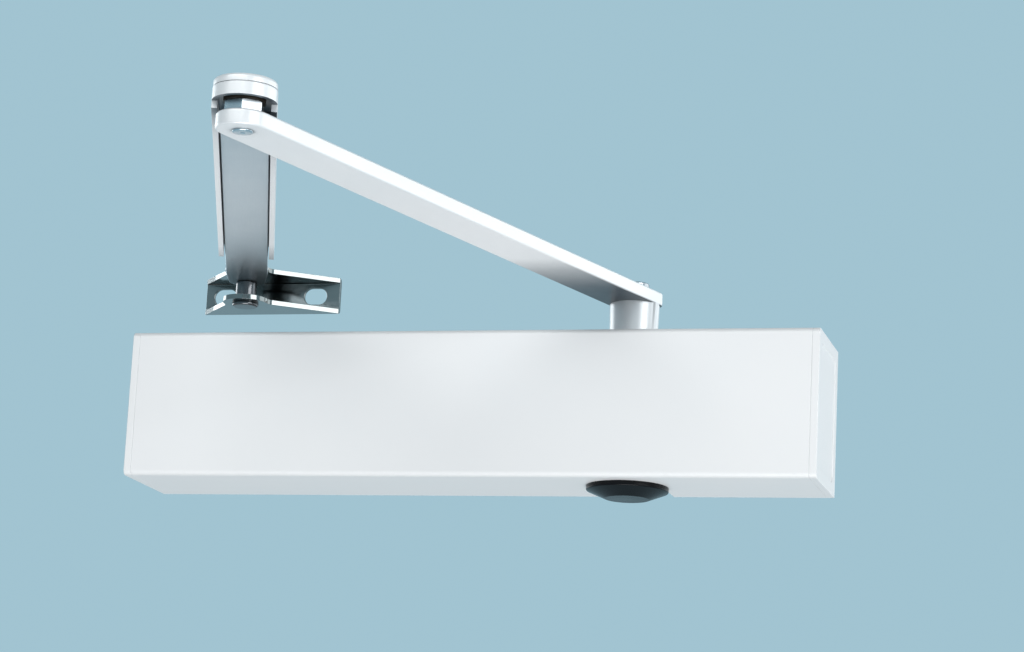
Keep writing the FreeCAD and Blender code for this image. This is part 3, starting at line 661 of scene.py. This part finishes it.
coverSizes = {"wall": 2.0 * mm, "frontRadius": 2.2 * mm, "innerRadius": 0.4 * mm, "slotHalf": 14.2 * mm,
              "edge": 0.22 * mm}
endCapSizes = {"spigot": 4.0 * mm, "spigotWall": 1.8 * mm, "spigotBack": -0.01 * mm, "joint": 0.5 * mm,
               "slip": 0.15 * mm, "panelMargin": 5.0 * mm, "panelDepth": 0.6 * mm, "panelRadius": 3.0 * mm,
               "panelTaper": 0.3 * mm, "panelMouth": 0.2 * mm, "rim": 0.35 * mm, "edge": 0.2 * mm}
coverLow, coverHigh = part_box("cover")


def frontRounded(halfHeight, front, back, radius):
    return filleted([(front, -halfHeight, radius), (back, -halfHeight, 0), (back, halfHeight, 0),
                     (front, halfHeight, radius)], steps=10)


def makeCover():
    sizes = coverSizes
    outline = frontRounded(coverHigh.z, coverLow.y, coverHigh.y, sizes["frontRadius"])
    shell = plate("coverShell", outline, coverLow.x, coverHigh.x)
    room = frontRounded(coverHigh.z - sizes["wall"], coverLow.y + sizes["wall"], beyond, sizes["innerRadius"])
    shell = reshaped(cutAway(shell, plate("room", room, coverLow.x - spare, coverHigh.x + spare)), alongX)
    slotOutline = tongue(beyond, sizes["slotHalf"])
    slot = placedAt(plate("slot", slotOutline, -beyond, beyond), spindleAt, math.pi / 2)
    dressed(cutAway(shell, slot), sizes["edge"], "whiteLacquer", "closer_body", "white_lacquer", "cover")


def makeEndCap(side):
    sizes = endCapSizes
    node = "right_end_cap" if side > 0 else "left_end_cap"
    low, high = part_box(node)
    outerX = high.x if side > 0 else -low.x
    flange = frontRounded(high.z, low.y, high.y, coverSizes["frontRadius"])
    cap = plate(node.replace("_end_cap", "EndCap"), flange, coverHigh.x, outerX, 0, sizes["rim"])
    margin, mouth, taper = sizes["panelMargin"], sizes["panelMouth"], sizes["panelTaper"]
    corners = rectangle((low.y + margin, high.y - margin), (margin - high.z, high.z - margin))
    panel = filleted([(*corner, sizes["panelRadius"]) for corner in corners])
    cutAway(cap, tower("recess", panel, [(outerX - sizes["panelDepth"], taper), (outerX - mouth, 0.0),
                                         (outerX + taper, -taper - mouth)]))
    spigotHalf = high.z - coverSizes["wall"] - sizes["slip"]
    spigotFront = low.y + coverSizes["wall"] + sizes["slip"]
    spigot = plate("spigot", rectangle((spigotFront, sizes["spigotBack"]), (-spigotHalf, spigotHalf)),
                   coverHigh.x - sizes["spigot"], coverHigh.x + sizes["joint"])
    hollow = rectangle((spigotFront + sizes["spigotWall"], beyond),
                       (sizes["spigotWall"] - spigotHalf, spigotHalf - sizes["spigotWall"]))
    cutAway(spigot, plate("hollow", hollow, coverHigh.x - beyond, coverHigh.x + beyond))
    combined(cap, spigot, "UNION")
    reshaped(cap, alongX)
    if side < 0:
        reshaped(cap, Matrix.Scale(-1, 4, (1, 0, 0)))
        cap.data.flip_normals()
    dressed(cap, sizes["edge"], "whiteLacquer", "closer_body", "white_lacquer", node)


makeCover()
for side in (-1, 1):
    makeEndCap(side)
print("stage: cover and end caps made")


# Round black cap under the lower end of the spindle

spindleCapSizes = {"rim": 1.9 * mm, "faceRadius": 9.0 * mm, "hollowRadius": 9.0 * mm, "floor": 1.5 * mm,
                   "legWidth": 7.0 * mm, "legThickness": 1.6 * mm, "legRoot": 0.5 * mm, "round": 0.6 * mm,
                   "rimRound": 0.2 * mm, "floorRound": 0.5 * mm, "slip": 0.15 * mm, "edge": 0.15 * mm}


def makeSpindleCap():
    sizes = spindleCapSizes
    low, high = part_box("spindle_cap")
    top = coverLow.z
    radius = (high.x - low.x) / 2
    corners = [(0.0, low.z, 0), (sizes["faceRadius"], low.z, sizes["round"]),
               (radius, top - sizes["rim"], sizes["round"]), (radius, top, sizes["rimRound"]),
               (sizes["hollowRadius"], top, sizes["rimRound"]),
               (sizes["hollowRadius"], low.z + sizes["floor"], sizes["floorRound"]),
               (0.0, low.z + sizes["floor"], 0)]
    cap = placedAt(turned("spindleCover", corners, arcSteps=5, steps=128), spindleAt)
    half = sizes["legWidth"] / 2
    reach = math.sqrt(coverSizes["slotHalf"] ** 2 - half ** 2) - sizes["slip"]
    for side in (-1, 1):
        span = sorted((side * (reach - sizes["legThickness"]), side * reach))
        leg = plate("leg", rectangle(span, (-half, half)), top - sizes["legRoot"], high.z)
        combined(cap, placedAt(leg, spindleAt), "UNION")
    dressed(cap, sizes["edge"], "blackGloss", "closer_body", "black_plastic", "spindle_cap")


makeSpindleCap()


# Main arm with its hub, drawn from the spindle along +X

armSizes = {"hubWidth": 20.4 * mm, "elbowRadius": 9.3 * mm, "endReach": 8.3 * mm, "endCorner": 5.0 * mm,
            "thickness": 5.5 * mm, "edge": 0.8 * mm, "hubTop": 10.15 * mm, "hubFoot": 9.6 * mm,
            "hubRound": 0.5 * mm, "squareFlats": 11.3 * mm, "squareCorner": 7.55 * mm, "squareRoof": 0.3 * mm,
            "screwHole": 3.15 * mm, "rivetHole": 3.05 * mm, "holeChamfer": 0.2 * mm, "rim": 0.2 * mm}


def armOutline(sizes):
    # Square at the spindle with rounded corners, narrowing to a round end about the elbow
    half, radius, reach = sizes["hubWidth"] / 2, sizes["elbowRadius"], sizes["endReach"]
    lean = math.atan2(half - radius, armRun.length + reach)
    touch = armRun.length + radius * math.sin(lean), radius * math.cos(lean)
    corners = [(-reach, half, sizes["endCorner"]), (-reach, -half, sizes["endCorner"]),
               (touch[0], -touch[1], 0), (touch[0], touch[1], 0)]
    nose = arcPoints(armRun.length, 0, radius, lean - math.pi / 2, math.pi / 2 - lean, steps=40)
    return filleted(corners, steps=10)[:-2] + nose


def makeMainArm():
    sizes = armSizes
    low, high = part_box("main_arm")
    underside = high.z - sizes["thickness"]
    bar = plate("mainArm", armOutline(sizes), underside, high.z, sizes["edge"], sizes["edge"])
    corners = [(0.0, low.z, 0), (sizes["hubFoot"], low.z, sizes["hubRound"]),
               (sizes["hubTop"], underside + sizes["edge"], 0), (0.0, underside + sizes["edge"], 0)]
    combined(bar, turned("hub", corners), "UNION")
    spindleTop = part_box("pinion")[1].z + sizes["squareRoof"]
    side = (-sizes["squareFlats"] / 2, sizes["squareFlats"] / 2)
    socket = plate("socket", rectangle(side, side), low.z - spare, spindleTop)
    combined(socket, plate("roundOff", circle(sizes["squareCorner"]), low.z - beyond, spindleTop + spare),
             "INTERSECT")
    reshaped(socket, Matrix.Rotation(-armTurn, 4, "Z"))
    screwHole = plate("screwHole", circle(sizes["screwHole"], steps=40), spindleTop - spare, high.z + spare)
    rivetHole = tower("rivetHole", circle(sizes["rivetHole"], steps=40, x=armRun.length),
                      holeLevels(underside, high.z, sizes["holeChamfer"]))
    cutAway(bar, socket, screwHole, rivetHole)
    placedAt(bar, spindleAt, armTurn)
    dressed(bar, sizes["rim"], "silverLacquer", "arm", "silver_lacquer", "main_arm")


makeMainArm()


# Cap screws with a hexagon socket

screwSizes = {"armHead": 5.5 * mm, "clampHead": 5.0 * mm, "clampGap": 0.05 * mm, "shank": 2.95 * mm,
              "point": 0.6 * mm, "root": 0.5 * mm, "socketFlats": 4.0 * mm, "socketDepth": 2.0 * mm,
              "socketMouth": 0.3 * mm, "knurls": 36, "knurlDepth": 0.12 * mm, "footRound": 0.2 * mm,
              "topRound": 0.5 * mm, "edge": 0.08 * mm}


def makeCapScrew(name, node, headRadius, headLow, body, point, material):
    sizes = screwSizes
    low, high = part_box(node)
    knurled = []
    for index, spot in enumerate(circle(headRadius, 2 * sizes["knurls"])):
        knurled.append(spot * (1 - sizes["knurlDepth"] / headRadius * (index % 2)))
    head = plate(name, knurled, headLow, high.z, sizes["footRound"], sizes["topRound"])
    shank, tip, mouth = sizes["shank"], sizes["point"], sizes["socketMouth"]
    corners = [(shank - tip, low.z, 0), (shank, low.z + tip, 0), (shank, headLow + sizes["root"], 0)]
    combined(head, turned("shank", corners, steps=40), "UNION")
    cutAway(head, tower("key", hexagon(sizes["socketFlats"]), [
        (high.z - sizes["socketDepth"], 0), (high.z - mouth, 0), (high.z + mouth, -2 * mouth)]))
    dressed(placedAt(head, point), sizes["edge"], material, body, "zinc_steel", node, angle=55)


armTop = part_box("main_arm")[1].z
makeCapScrew("armScrew", "arm_screw", screwSizes["armHead"], armTop, "arm", spindleAt, "spindleSteel")
print("stage: main arm made")


# Elbow: riveted stud with its hexagon, and the cap over it

studSizes = {"rivetHead": 3.6 * mm, "headRound": 0.5 * mm, "rivet": 3.0 * mm, "rivetRise": 0.6 * mm,
             "dimple": 0.9 * mm, "dimpleFloor": 0.54 * mm, "dimpleDepth": 0.25 * mm, "dimpleRound": 0.1 * mm,
             "hexFlats": 12.4 * mm, "hexHeight": 4.0 * mm, "chamfer": 0.55 * mm, "shank": 4.0 * mm,
             "shankRound": 0.3 * mm, "root": 0.5 * mm, "slack": 0.01 * mm, "faceSlack": 0.0005 * mm,
             "edge": 0.1 * mm}
elbowCapSizes = {"width": 21.7 * mm, "tail": 13.0 * mm, "wall": 1.4 * mm, "roof": 0.9 * mm,
                 "topRound": 1.2 * mm, "footRound": 0.15 * mm, "innerRound": 0.4 * mm, "edge": 0.12 * mm}


def makeElbowStud():
    sizes = studSizes
    low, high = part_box("elbow_stud")
    hexLow, hexHigh = armTop, armTop + sizes["hexHeight"]
    block = plate("elbowStud", hexagon(sizes["hexFlats"], math.pi / 6), hexLow, hexHigh)
    corner = sizes["hexFlats"] / math.sqrt(3)
    cone = sizes["chamfer"] / math.sqrt(3)
    inner, outer = corner - sizes["chamfer"], corner + sizes["slack"]
    corners = [(inner, hexLow - sizes["faceSlack"], 0), (outer, hexLow + cone, 0), (outer, hexHigh - cone, 0),
               (inner, hexHigh + sizes["faceSlack"], 0)]
    combined(block, turned("envelope", corners), "INTERSECT")
    dimpleTop, headTop = low.z + sizes["dimpleDepth"], low.z + sizes["rivetRise"]
    rootTop, rootLow = hexLow + sizes["root"], hexHigh - sizes["root"]
    head, rivet, shank = sizes["rivetHead"], sizes["rivet"], sizes["shank"]
    corners = [(0.0, dimpleTop, 0), (sizes["dimpleFloor"], dimpleTop, 0),
               (sizes["dimple"], low.z, sizes["dimpleRound"]), (head, low.z, sizes["headRound"]),
               (head, headTop, 0), (rivet, headTop, 0), (rivet, rootTop, 0), (0.0, rootTop, 0)]
    combined(block, turned("rivet", corners, arcSteps=5, steps=64), "UNION")
    corners = [(0.0, rootLow, 0), (shank, rootLow, 0), (shank, high.z, sizes["shankRound"]), (0.0, high.z, 0)]
    combined(block, turned("shank", corners, arcSteps=4, steps=64), "UNION")
    placedAt(block, elbowAt, armTurn)
    dressed(block, sizes["edge"], "elbowSteel", "arm", "zinc_steel", "elbow_stud", angle=40)


def makeElbowCap():
    sizes = elbowCapSizes
    low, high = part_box("elbow_cap")
    half = sizes["width"] / 2
    shell = plate("elbowCap", tongue(sizes["tail"], half), low.z, high.z,
                  sizes["footRound"], sizes["topRound"])
    hollow = plate("hollow", tongue(sizes["tail"] - sizes["wall"], half - sizes["wall"]),
                   low.z - spare, high.z - sizes["roof"], 0, sizes["innerRound"])
    placedAt(cutAway(shell, hollow), elbowAt, forearmTurn)
    dressed(shell, sizes["edge"], "silverLacquer", "forearm", "silver_lacquer", "elbow_cap")


makeElbowStud()
makeElbowCap()


# Forearm: folded channel, sliding bar and clamp screw, drawn from the elbow along +X

forearmSizes = {
    "channelWidth": 22.0 * mm, "wall": 2.0 * mm, "edge": 0.5 * mm, "innerEdge": 0.6 * mm, "rim": 0.65 * mm,
    "hoodDepth": 4.6 * mm, "hoodFrom": -0.05 * mm,  # A cut right in the middle leaves open edges
    "barBeyond": 47.4 * mm, "barOverlap": 188.0 * mm, "studHole": 4.05 * mm, "clampFromStart": 10.0 * mm,
    "slotHalf": 3.15 * mm, "shorter": 12.15 * mm, "longer": 30.15 * mm, "holeChamfer": 0.2 * mm,
    "barWidth": 17.0 * mm, "barEnd": 7.5 * mm, "barTaper": 14.0 * mm, "barCorner": 2.0 * mm,
    "barEdge": 0.45 * mm, "barRim": 0.12 * mm, "pinHole": 3.55 * mm, "clampHole": 3.0 * mm,
}
channelLength = forearmRun.length - forearmSizes["barBeyond"]
barStart = channelLength - forearmSizes["barOverlap"]
clampAlong = barStart + forearmSizes["clampFromStart"]


def makeChannel():
    sizes = forearmSizes
    low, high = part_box("forearm_channel")
    half = sizes["channelWidth"] / 2
    outer = plate("forearmChannel", tongue(channelLength, half), low.z, high.z, 0, sizes["edge"])
    inner = plate("inner", tongue(channelLength + beyond, half - sizes["wall"]), low.z - spare,
                  high.z - sizes["wall"], 0, sizes["innerEdge"])
    mouth = plate("mouth", rectangle((-beyond, sizes["hoodFrom"]), (-beyond, beyond)), low.z - spare,
                  high.z - sizes["hoodDepth"])
    studHole = plate("studHole", circle(sizes["studHole"], steps=48), low.z, high.z + spare)
    slotOutline = capsule(clampAlong - sizes["shorter"], clampAlong + sizes["longer"], sizes["slotHalf"],
                          steps=20)
    slot = tower("slot", slotOutline, holeLevels(high.z - sizes["wall"], high.z, sizes["holeChamfer"]))
    placedAt(cutAway(outer, inner, mouth, studHole, slot), elbowAt, forearmTurn)
    dressed(outer, sizes["rim"], "silverLacquer", "forearm", "silver_lacquer", "forearm_channel")


def makeForearmBar():
    sizes = forearmSizes
    low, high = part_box("forearm_bar")
    half = sizes["barWidth"] / 2
    reach = forearmRun.length
    taper, corner = sizes["barTaper"], sizes["barCorner"]
    lean = math.atan2(half - sizes["barEnd"], taper)
    outline = filleted([(reach - taper, half, 0), (barStart, half, corner), (barStart, -half, corner),
                        (reach - taper, -half, 0)])
    outline += arcPoints(reach, 0, sizes["barEnd"], lean - math.pi / 2, math.pi / 2 - lean, steps=40)
    bar = plate("forearmBar", outline, low.z, high.z, sizes["barEdge"], sizes["barEdge"])
    pinHole = tower("pinHole", circle(sizes["pinHole"], steps=48, x=reach),
                    holeLevels(low.z, high.z, sizes["holeChamfer"]))
    clampHole = plate("clampHole", circle(sizes["clampHole"], steps=40, x=clampAlong), low.z - spare,
                      high.z + spare)
    placedAt(cutAway(bar, pinHole, clampHole), elbowAt, forearmTurn)
    dressed(bar, sizes["barRim"], "zincSteel", "forearm_end", "zinc_steel", "forearm_bar")


makeChannel()
makeForearmBar()
clampAt = elbowAt + Vector((math.cos(forearmTurn), math.sin(forearmTurn), 0)) * clampAlong
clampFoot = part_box("forearm_channel")[1].z + screwSizes["clampGap"]
makeCapScrew("clampScrew", "clamp_screw", screwSizes["clampHead"], clampFoot, "forearm_end", clampAt,
             "zincSteel")
print("stage: forearm made")


# Frame bracket: pressed from sheet, drawn about its pivot with the wall side at +Y

bracketSizes = {
    "setback": 22.5 * mm, "flangeEnd": 2.5 * mm, "sheet": 2.0 * mm, "nose": 9.3 * mm,
    "noseOpen": math.radians(12), "blend": 5.0 * mm, "outerBend": 2.0 * mm, "innerBend": 0.4 * mm,
    "slotLeft": -16.6 * mm, "slotRight": 23.4 * mm, "slotLength": 10.0 * mm, "slotWidth": 7.0 * mm,
    "slotChamfer": 0.25 * mm, "pinHole": 3.55 * mm, "edge": 0.25 * mm,
}
pinSizes = {"radius": 3.5 * mm, "head": 5.4 * mm, "footRound": 0.7 * mm, "topRound": 0.6 * mm,
            "seatRound": 0.1 * mm, "shoulder": 4.3 * mm, "shoulderRound": 0.2 * mm, "shoulderGap": 0.3 * mm,
            "edge": 0.08 * mm}


def flangeSide(reach, sizes):
    # Free edge of the flange from its round nose, through a hollow blend, to its end at +X
    corner = sizes["nose"] * Vector((math.cos(sizes["noseOpen"]), math.sin(sizes["noseOpen"])))
    end = Vector((reach, sizes["setback"] - sizes["flangeEnd"]))
    along = (end - corner).normalized()
    out = Vector((along.y, -along.x))
    base = corner + out * sizes["blend"]
    part = along.dot(base)
    far = (sizes["nose"] + sizes["blend"]) ** 2
    centre = base + along * (math.sqrt(part * part - base.length_squared + far) - part)
    start = math.atan2(-centre.y, -centre.x) % (2 * math.pi)
    return arcPoints(centre.x, centre.y, sizes["blend"], start, math.atan2(-out.y, -out.x), steps=14) + [end]


def flangeOutline(left, right, sizes):
    leftSide = [Vector((-point.x, point.y)) for point in reversed(flangeSide(-left, sizes))]
    rightSide = flangeSide(right, sizes)
    start, end = [math.atan2(point.y, point.x) for point in (leftSide[-1], rightSide[0])]
    nose = arcPoints(0, 0, sizes["nose"], start % (2 * math.pi) - 2 * math.pi, end, steps=48)[1:-1]
    return [Vector((right, sizes["setback"])), Vector((left, sizes["setback"]))] + leftSide + nose + rightSide


def makeBracket():
    # A folded U section, cut to the flange's outline
    sizes = bracketSizes
    low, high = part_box("bracket")
    back, sheet, front = sizes["setback"], sizes["sheet"], -sizes["nose"] - spare
    left, right = low.x - pivotAt.x, high.x - pivotAt.x
    outer, inner = sizes["outerBend"], sizes["innerBend"]
    corners = [(front, low.z, 0), (back, low.z, outer), (back, high.z, outer), (front, high.z, 0),
               (front, high.z - sheet, 0), (back - sheet, high.z - sheet, inner),
               (back - sheet, low.z + sheet, inner), (front, low.z + sheet, 0)]
    section = filleted(corners)
    bent = lofted("frameBracket", [[Vector((x, point.x, point.y)) for point in section]
                                   for x in (left - spare, right + spare)])
    flange = plate("flange", flangeOutline(left, right, sizes), low.z - spare, high.z + spare)
    combined(bent, flange, "INTERSECT")
    middle = (low.z + high.z) / 2
    straight = (sizes["slotLength"] - sizes["slotWidth"]) / 2
    for x in (sizes["slotLeft"], sizes["slotRight"]):
        outline = capsule(x - straight, x + straight, sizes["slotWidth"] / 2, steps=24)
        slot = tower("slot", outline, holeLevels(-back, sheet - back, sizes["slotChamfer"]))
        reshaped(slot, Matrix.Translation((0, 0, middle)) @ Matrix.Rotation(math.pi / 2, 4, "X"))
        cutAway(bent, slot)
    cutAway(bent, plate("pinHole", circle(sizes["pinHole"], steps=48), low.z - spare, high.z + spare))
    placedAt(bent, pivotAt)
    dressed(bent, sizes["edge"], "polishedNickel", "frame_bracket", "polished_nickel", "bracket")


def makeBracketPin():
    sizes = pinSizes
    low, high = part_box("bracket_pin")
    bracketLow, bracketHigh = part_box("bracket")
    shoulderLow = bracketLow.z + bracketSizes["sheet"]
    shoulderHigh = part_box("forearm_bar")[0].z - sizes["shoulderGap"]
    radius, head, shoulder, seat = sizes["radius"], sizes["head"], sizes["shoulder"], sizes["seatRound"]
    corners = [(0.0, low.z, 0), (head, low.z, sizes["footRound"]), (head, bracketLow.z, seat),
               (radius, bracketLow.z, 0), (radius, shoulderLow, 0), (shoulder, shoulderLow, seat),
               (shoulder, shoulderHigh, sizes["shoulderRound"]), (radius, shoulderHigh, 0),
               (radius, bracketHigh.z, 0), (head, bracketHigh.z, seat), (head, high.z, sizes["topRound"]),
               (0.0, high.z, 0)]
    pin = placedAt(turned("bracketPin", corners), pivotAt)
    dressed(pin, sizes["edge"], "darkPin", "frame_bracket", "polished_nickel", "bracket_pin")


makeBracket()
makeBracketPin()
print("stage: frame bracket made")


# Closing spring in two halves, both carried by the closer body

springSizes = {"radius": 13.0 * mm, "wireAcross": 4.4 * mm, "wireAlong": 4.6 * mm, "wireRound": 1.0 * mm,
               "turns": 4, "stepsPerTurn": 40, "edge": 0.1 * mm}


def springHalf(name, startX, endX, firstTurn, closedEnd):
    # Coil of rounded rectangular wire along X, whose outer end stops half a wire short of what it sits on
    sizes = springSizes
    margin, rise = sizes["wireAlong"] / 2, sizes["wireAcross"] / 2
    corners = rectangle((-margin, margin), (-rise, rise))
    wire = filleted([(*corner, sizes["wireRound"]) for corner in corners], steps=2)
    low = startX + (margin if closedEnd < 0 else 0)
    high = endX - (margin if closedEnd > 0 else 0)
    steps = sizes["turns"] * sizes["stepsPerTurn"]
    rings = []
    for step in range(steps + 1):
        share = step / steps
        turn = 2 * math.pi * (firstTurn + sizes["turns"] * share)
        x = low + (high - low) * share
        ring = []
        for point in wire:
            radius = sizes["radius"] + point.y
            ring.append(Vector((x + point.x, spindleAt.y + radius * math.cos(turn), radius * math.sin(turn))))
        rings.append(ring)
    coil = lofted(name, rings)
    dressed(coil, sizes["edge"], "springSteel", "closer_body", "spring_steel", "closing_spring", angle=60)
    return coil


def makeSpring():
    low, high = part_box("closing_spring")
    middle = (low.x + high.x) / 2
    ends = ((springHalf("springSeatHalf", low.x, middle, 0, -1), "spring_seat_slide"),
            (springHalf("springPistonHalf", middle, high.x, springSizes["turns"], 1), "piston_slide"))
    for coil, joint in ends:
        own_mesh(coil)


makeSpring()
print("stage: closing spring made")


# Finishes of the nodes that keep the shape they were built with

carriedNodes = {
    "housing": "castAluminium", "left_end_plug": "boreSteel", "right_end_plug": "boreSteel",
    "pinion": "spindleSteel", "upper_bearing": "bearingBronze", "lower_bearing": "bearingBronze",
    "upper_shaft_seal": "sealRubber", "lower_shaft_seal": "sealRubber", "piston": "boreSteel",
    "check_valve": "valveBrass", "spring_seat": "boreSteel", "power_screw": "boreSteel",
    "closing_valve": "valveBrass", "latching_valve": "valveBrass", "backcheck_valve": "valveBrass",
    "elbow_bush": "oiledBronze", "elbow_clip": "springSteel",
}
for name, material in carriedNodes.items():
    for socket in nodes[name].material_slots:
        socket.material = materials[material]
print("stage: carried parts dressed,", len(carriedNodes))


# Floor, light and camera

stageSizes = {"floorRadius": 7.0, "floorDrop": 1.7, "floorColour": (0.62, 0.70, 0.74), "floorRoughness": 0.7}
skyLook = {"shown": (0.36, 0.55, 0.64), "light": (0.92, 0.96, 1.0), "lightLevel": 0.22}
lamps = {
    "keyFront": {"place": (-0.4, -1.9, 1.2), "size": (2.4, 0.8), "power": 20.0, "colour": (1.0, 0.99, 0.98)},
    "sideRight": {"place": (1.8, -1.1, 0.2), "size": (1.2, 0.9), "power": 17.5, "colour": (0.98, 0.99, 1.0)},
    "backRight": {"place": (1.9, 1.4, 0.2), "size": (2.8, 1.8), "power": 22.0, "colour": (0.97, 0.99, 1.0)},
    "backLeft": {"place": (-1.8, 0.9, 0.2), "size": (1.2, 1.0), "power": 13.0, "colour": (0.97, 0.99, 1.0)},
    "lowFront": {"place": (0.3, -0.9, -1.4), "size": (1.2, 1.2), "power": 22.0, "colour": (1.0, 1.0, 1.0)},
}
cameraSizes = {"place": (0.33515, -1.21904, -0.23731), "turn": 0.26374, "rise": 0.2177, "lean": -0.04985,
               "lens": 108.83, "sensor": 36.0}


def surfaceMix(tree, mask, first, second, output):
    # Shows the second shader where the mask is 1
    mix = tree.nodes.new("ShaderNodeMixShader")
    for socket, value in zip(mix.inputs, (mask, first, second)):
        feed(tree, socket, value)
    feed(tree, output.inputs["Surface"], mix.outputs["Shader"])


def makeFloor():
    # Clear from below, for views that look up
    sizes = stageSizes
    work = bmesh.new()
    work.faces.new([work.verts.new((point.x, point.y, -sizes["floorDrop"]))
                    for point in circle(sizes["floorRadius"], steps=96)])
    floor = pieceFrom("floor", work)
    material, tree, shader = plainMaterial("paleFloor")
    shader.inputs["Base Color"].default_value = (*sizes["floorColour"], 1.0)
    shader.inputs["Roughness"].default_value = sizes["floorRoughness"]
    clear = tree.nodes.new("ShaderNodeBsdfTransparent")
    surface = tree.nodes.new("ShaderNodeNewGeometry")
    surfaceMix(tree, surface.outputs["Backfacing"], shader.outputs["BSDF"], clear.outputs["BSDF"],
               nodeOf(tree, "OUTPUT_MATERIAL"))
    floor.data.materials.append(material)


def makeSky():
    world = bpy.data.worlds.new("softStudio")
    bpy.context.scene.world = world
    world.use_nodes = True
    tree = world.node_tree
    tree.nodes.clear()
    light, shown = tree.nodes.new("ShaderNodeBackground"), tree.nodes.new("ShaderNodeBackground")
    light.inputs["Color"].default_value = (*skyLook["light"], 1.0)
    light.inputs["Strength"].default_value = skyLook["lightLevel"]
    shown.inputs["Color"].default_value = (*skyLook["shown"], 1.0)
    path = tree.nodes.new("ShaderNodeLightPath")
    seen = mathNode(tree, "MAXIMUM", path.outputs["Is Camera Ray"], path.outputs["Is Glossy Ray"])
    seen = mathNode(tree, "MAXIMUM", seen, path.outputs["Is Transmission Ray"])
    surfaceMix(tree, seen, light.outputs["Background"], shown.outputs["Background"],
               tree.nodes.new("ShaderNodeOutputWorld"))


def makeLamp(name, look):
    data = bpy.data.lights.new(name, "AREA")
    data.shape = "RECTANGLE"
    data.size, data.size_y = look["size"]
    data.energy = look["power"]
    data.color = look["colour"]
    lamp = newObject(name, data)
    lamp.location = look["place"]
    lamp.visible_camera = False
    centre = (cadLow + cadHigh) / 2
    lamp.rotation_mode = "QUATERNION"
    lamp.rotation_quaternion = (centre - lamp.location).to_track_quat("-Z", "Y")


def makeCamera():
    sizes = cameraSizes
    data = bpy.data.cameras.new("photoCamera")
    data.sensor_width = sizes["sensor"]
    data.lens = sizes["lens"]
    camera = newObject("photoCamera", data)
    turn = (Matrix.Rotation(sizes["turn"], 4, "Z") @ Matrix.Rotation(sizes["rise"], 4, "X")
            @ Matrix.Rotation(sizes["lean"], 4, "Y") @ Matrix.Rotation(math.pi / 2, 4, "X"))
    camera.matrix_world = Matrix.Translation(sizes["place"]) @ turn
    bpy.context.scene.camera = camera


makeFloor()
makeSky()
for name, look in lamps.items():
    makeLamp(name, look)
makeCamera()
bpy.context.scene.view_settings.view_transform = "Standard"
print("stage: floor, light and camera made")
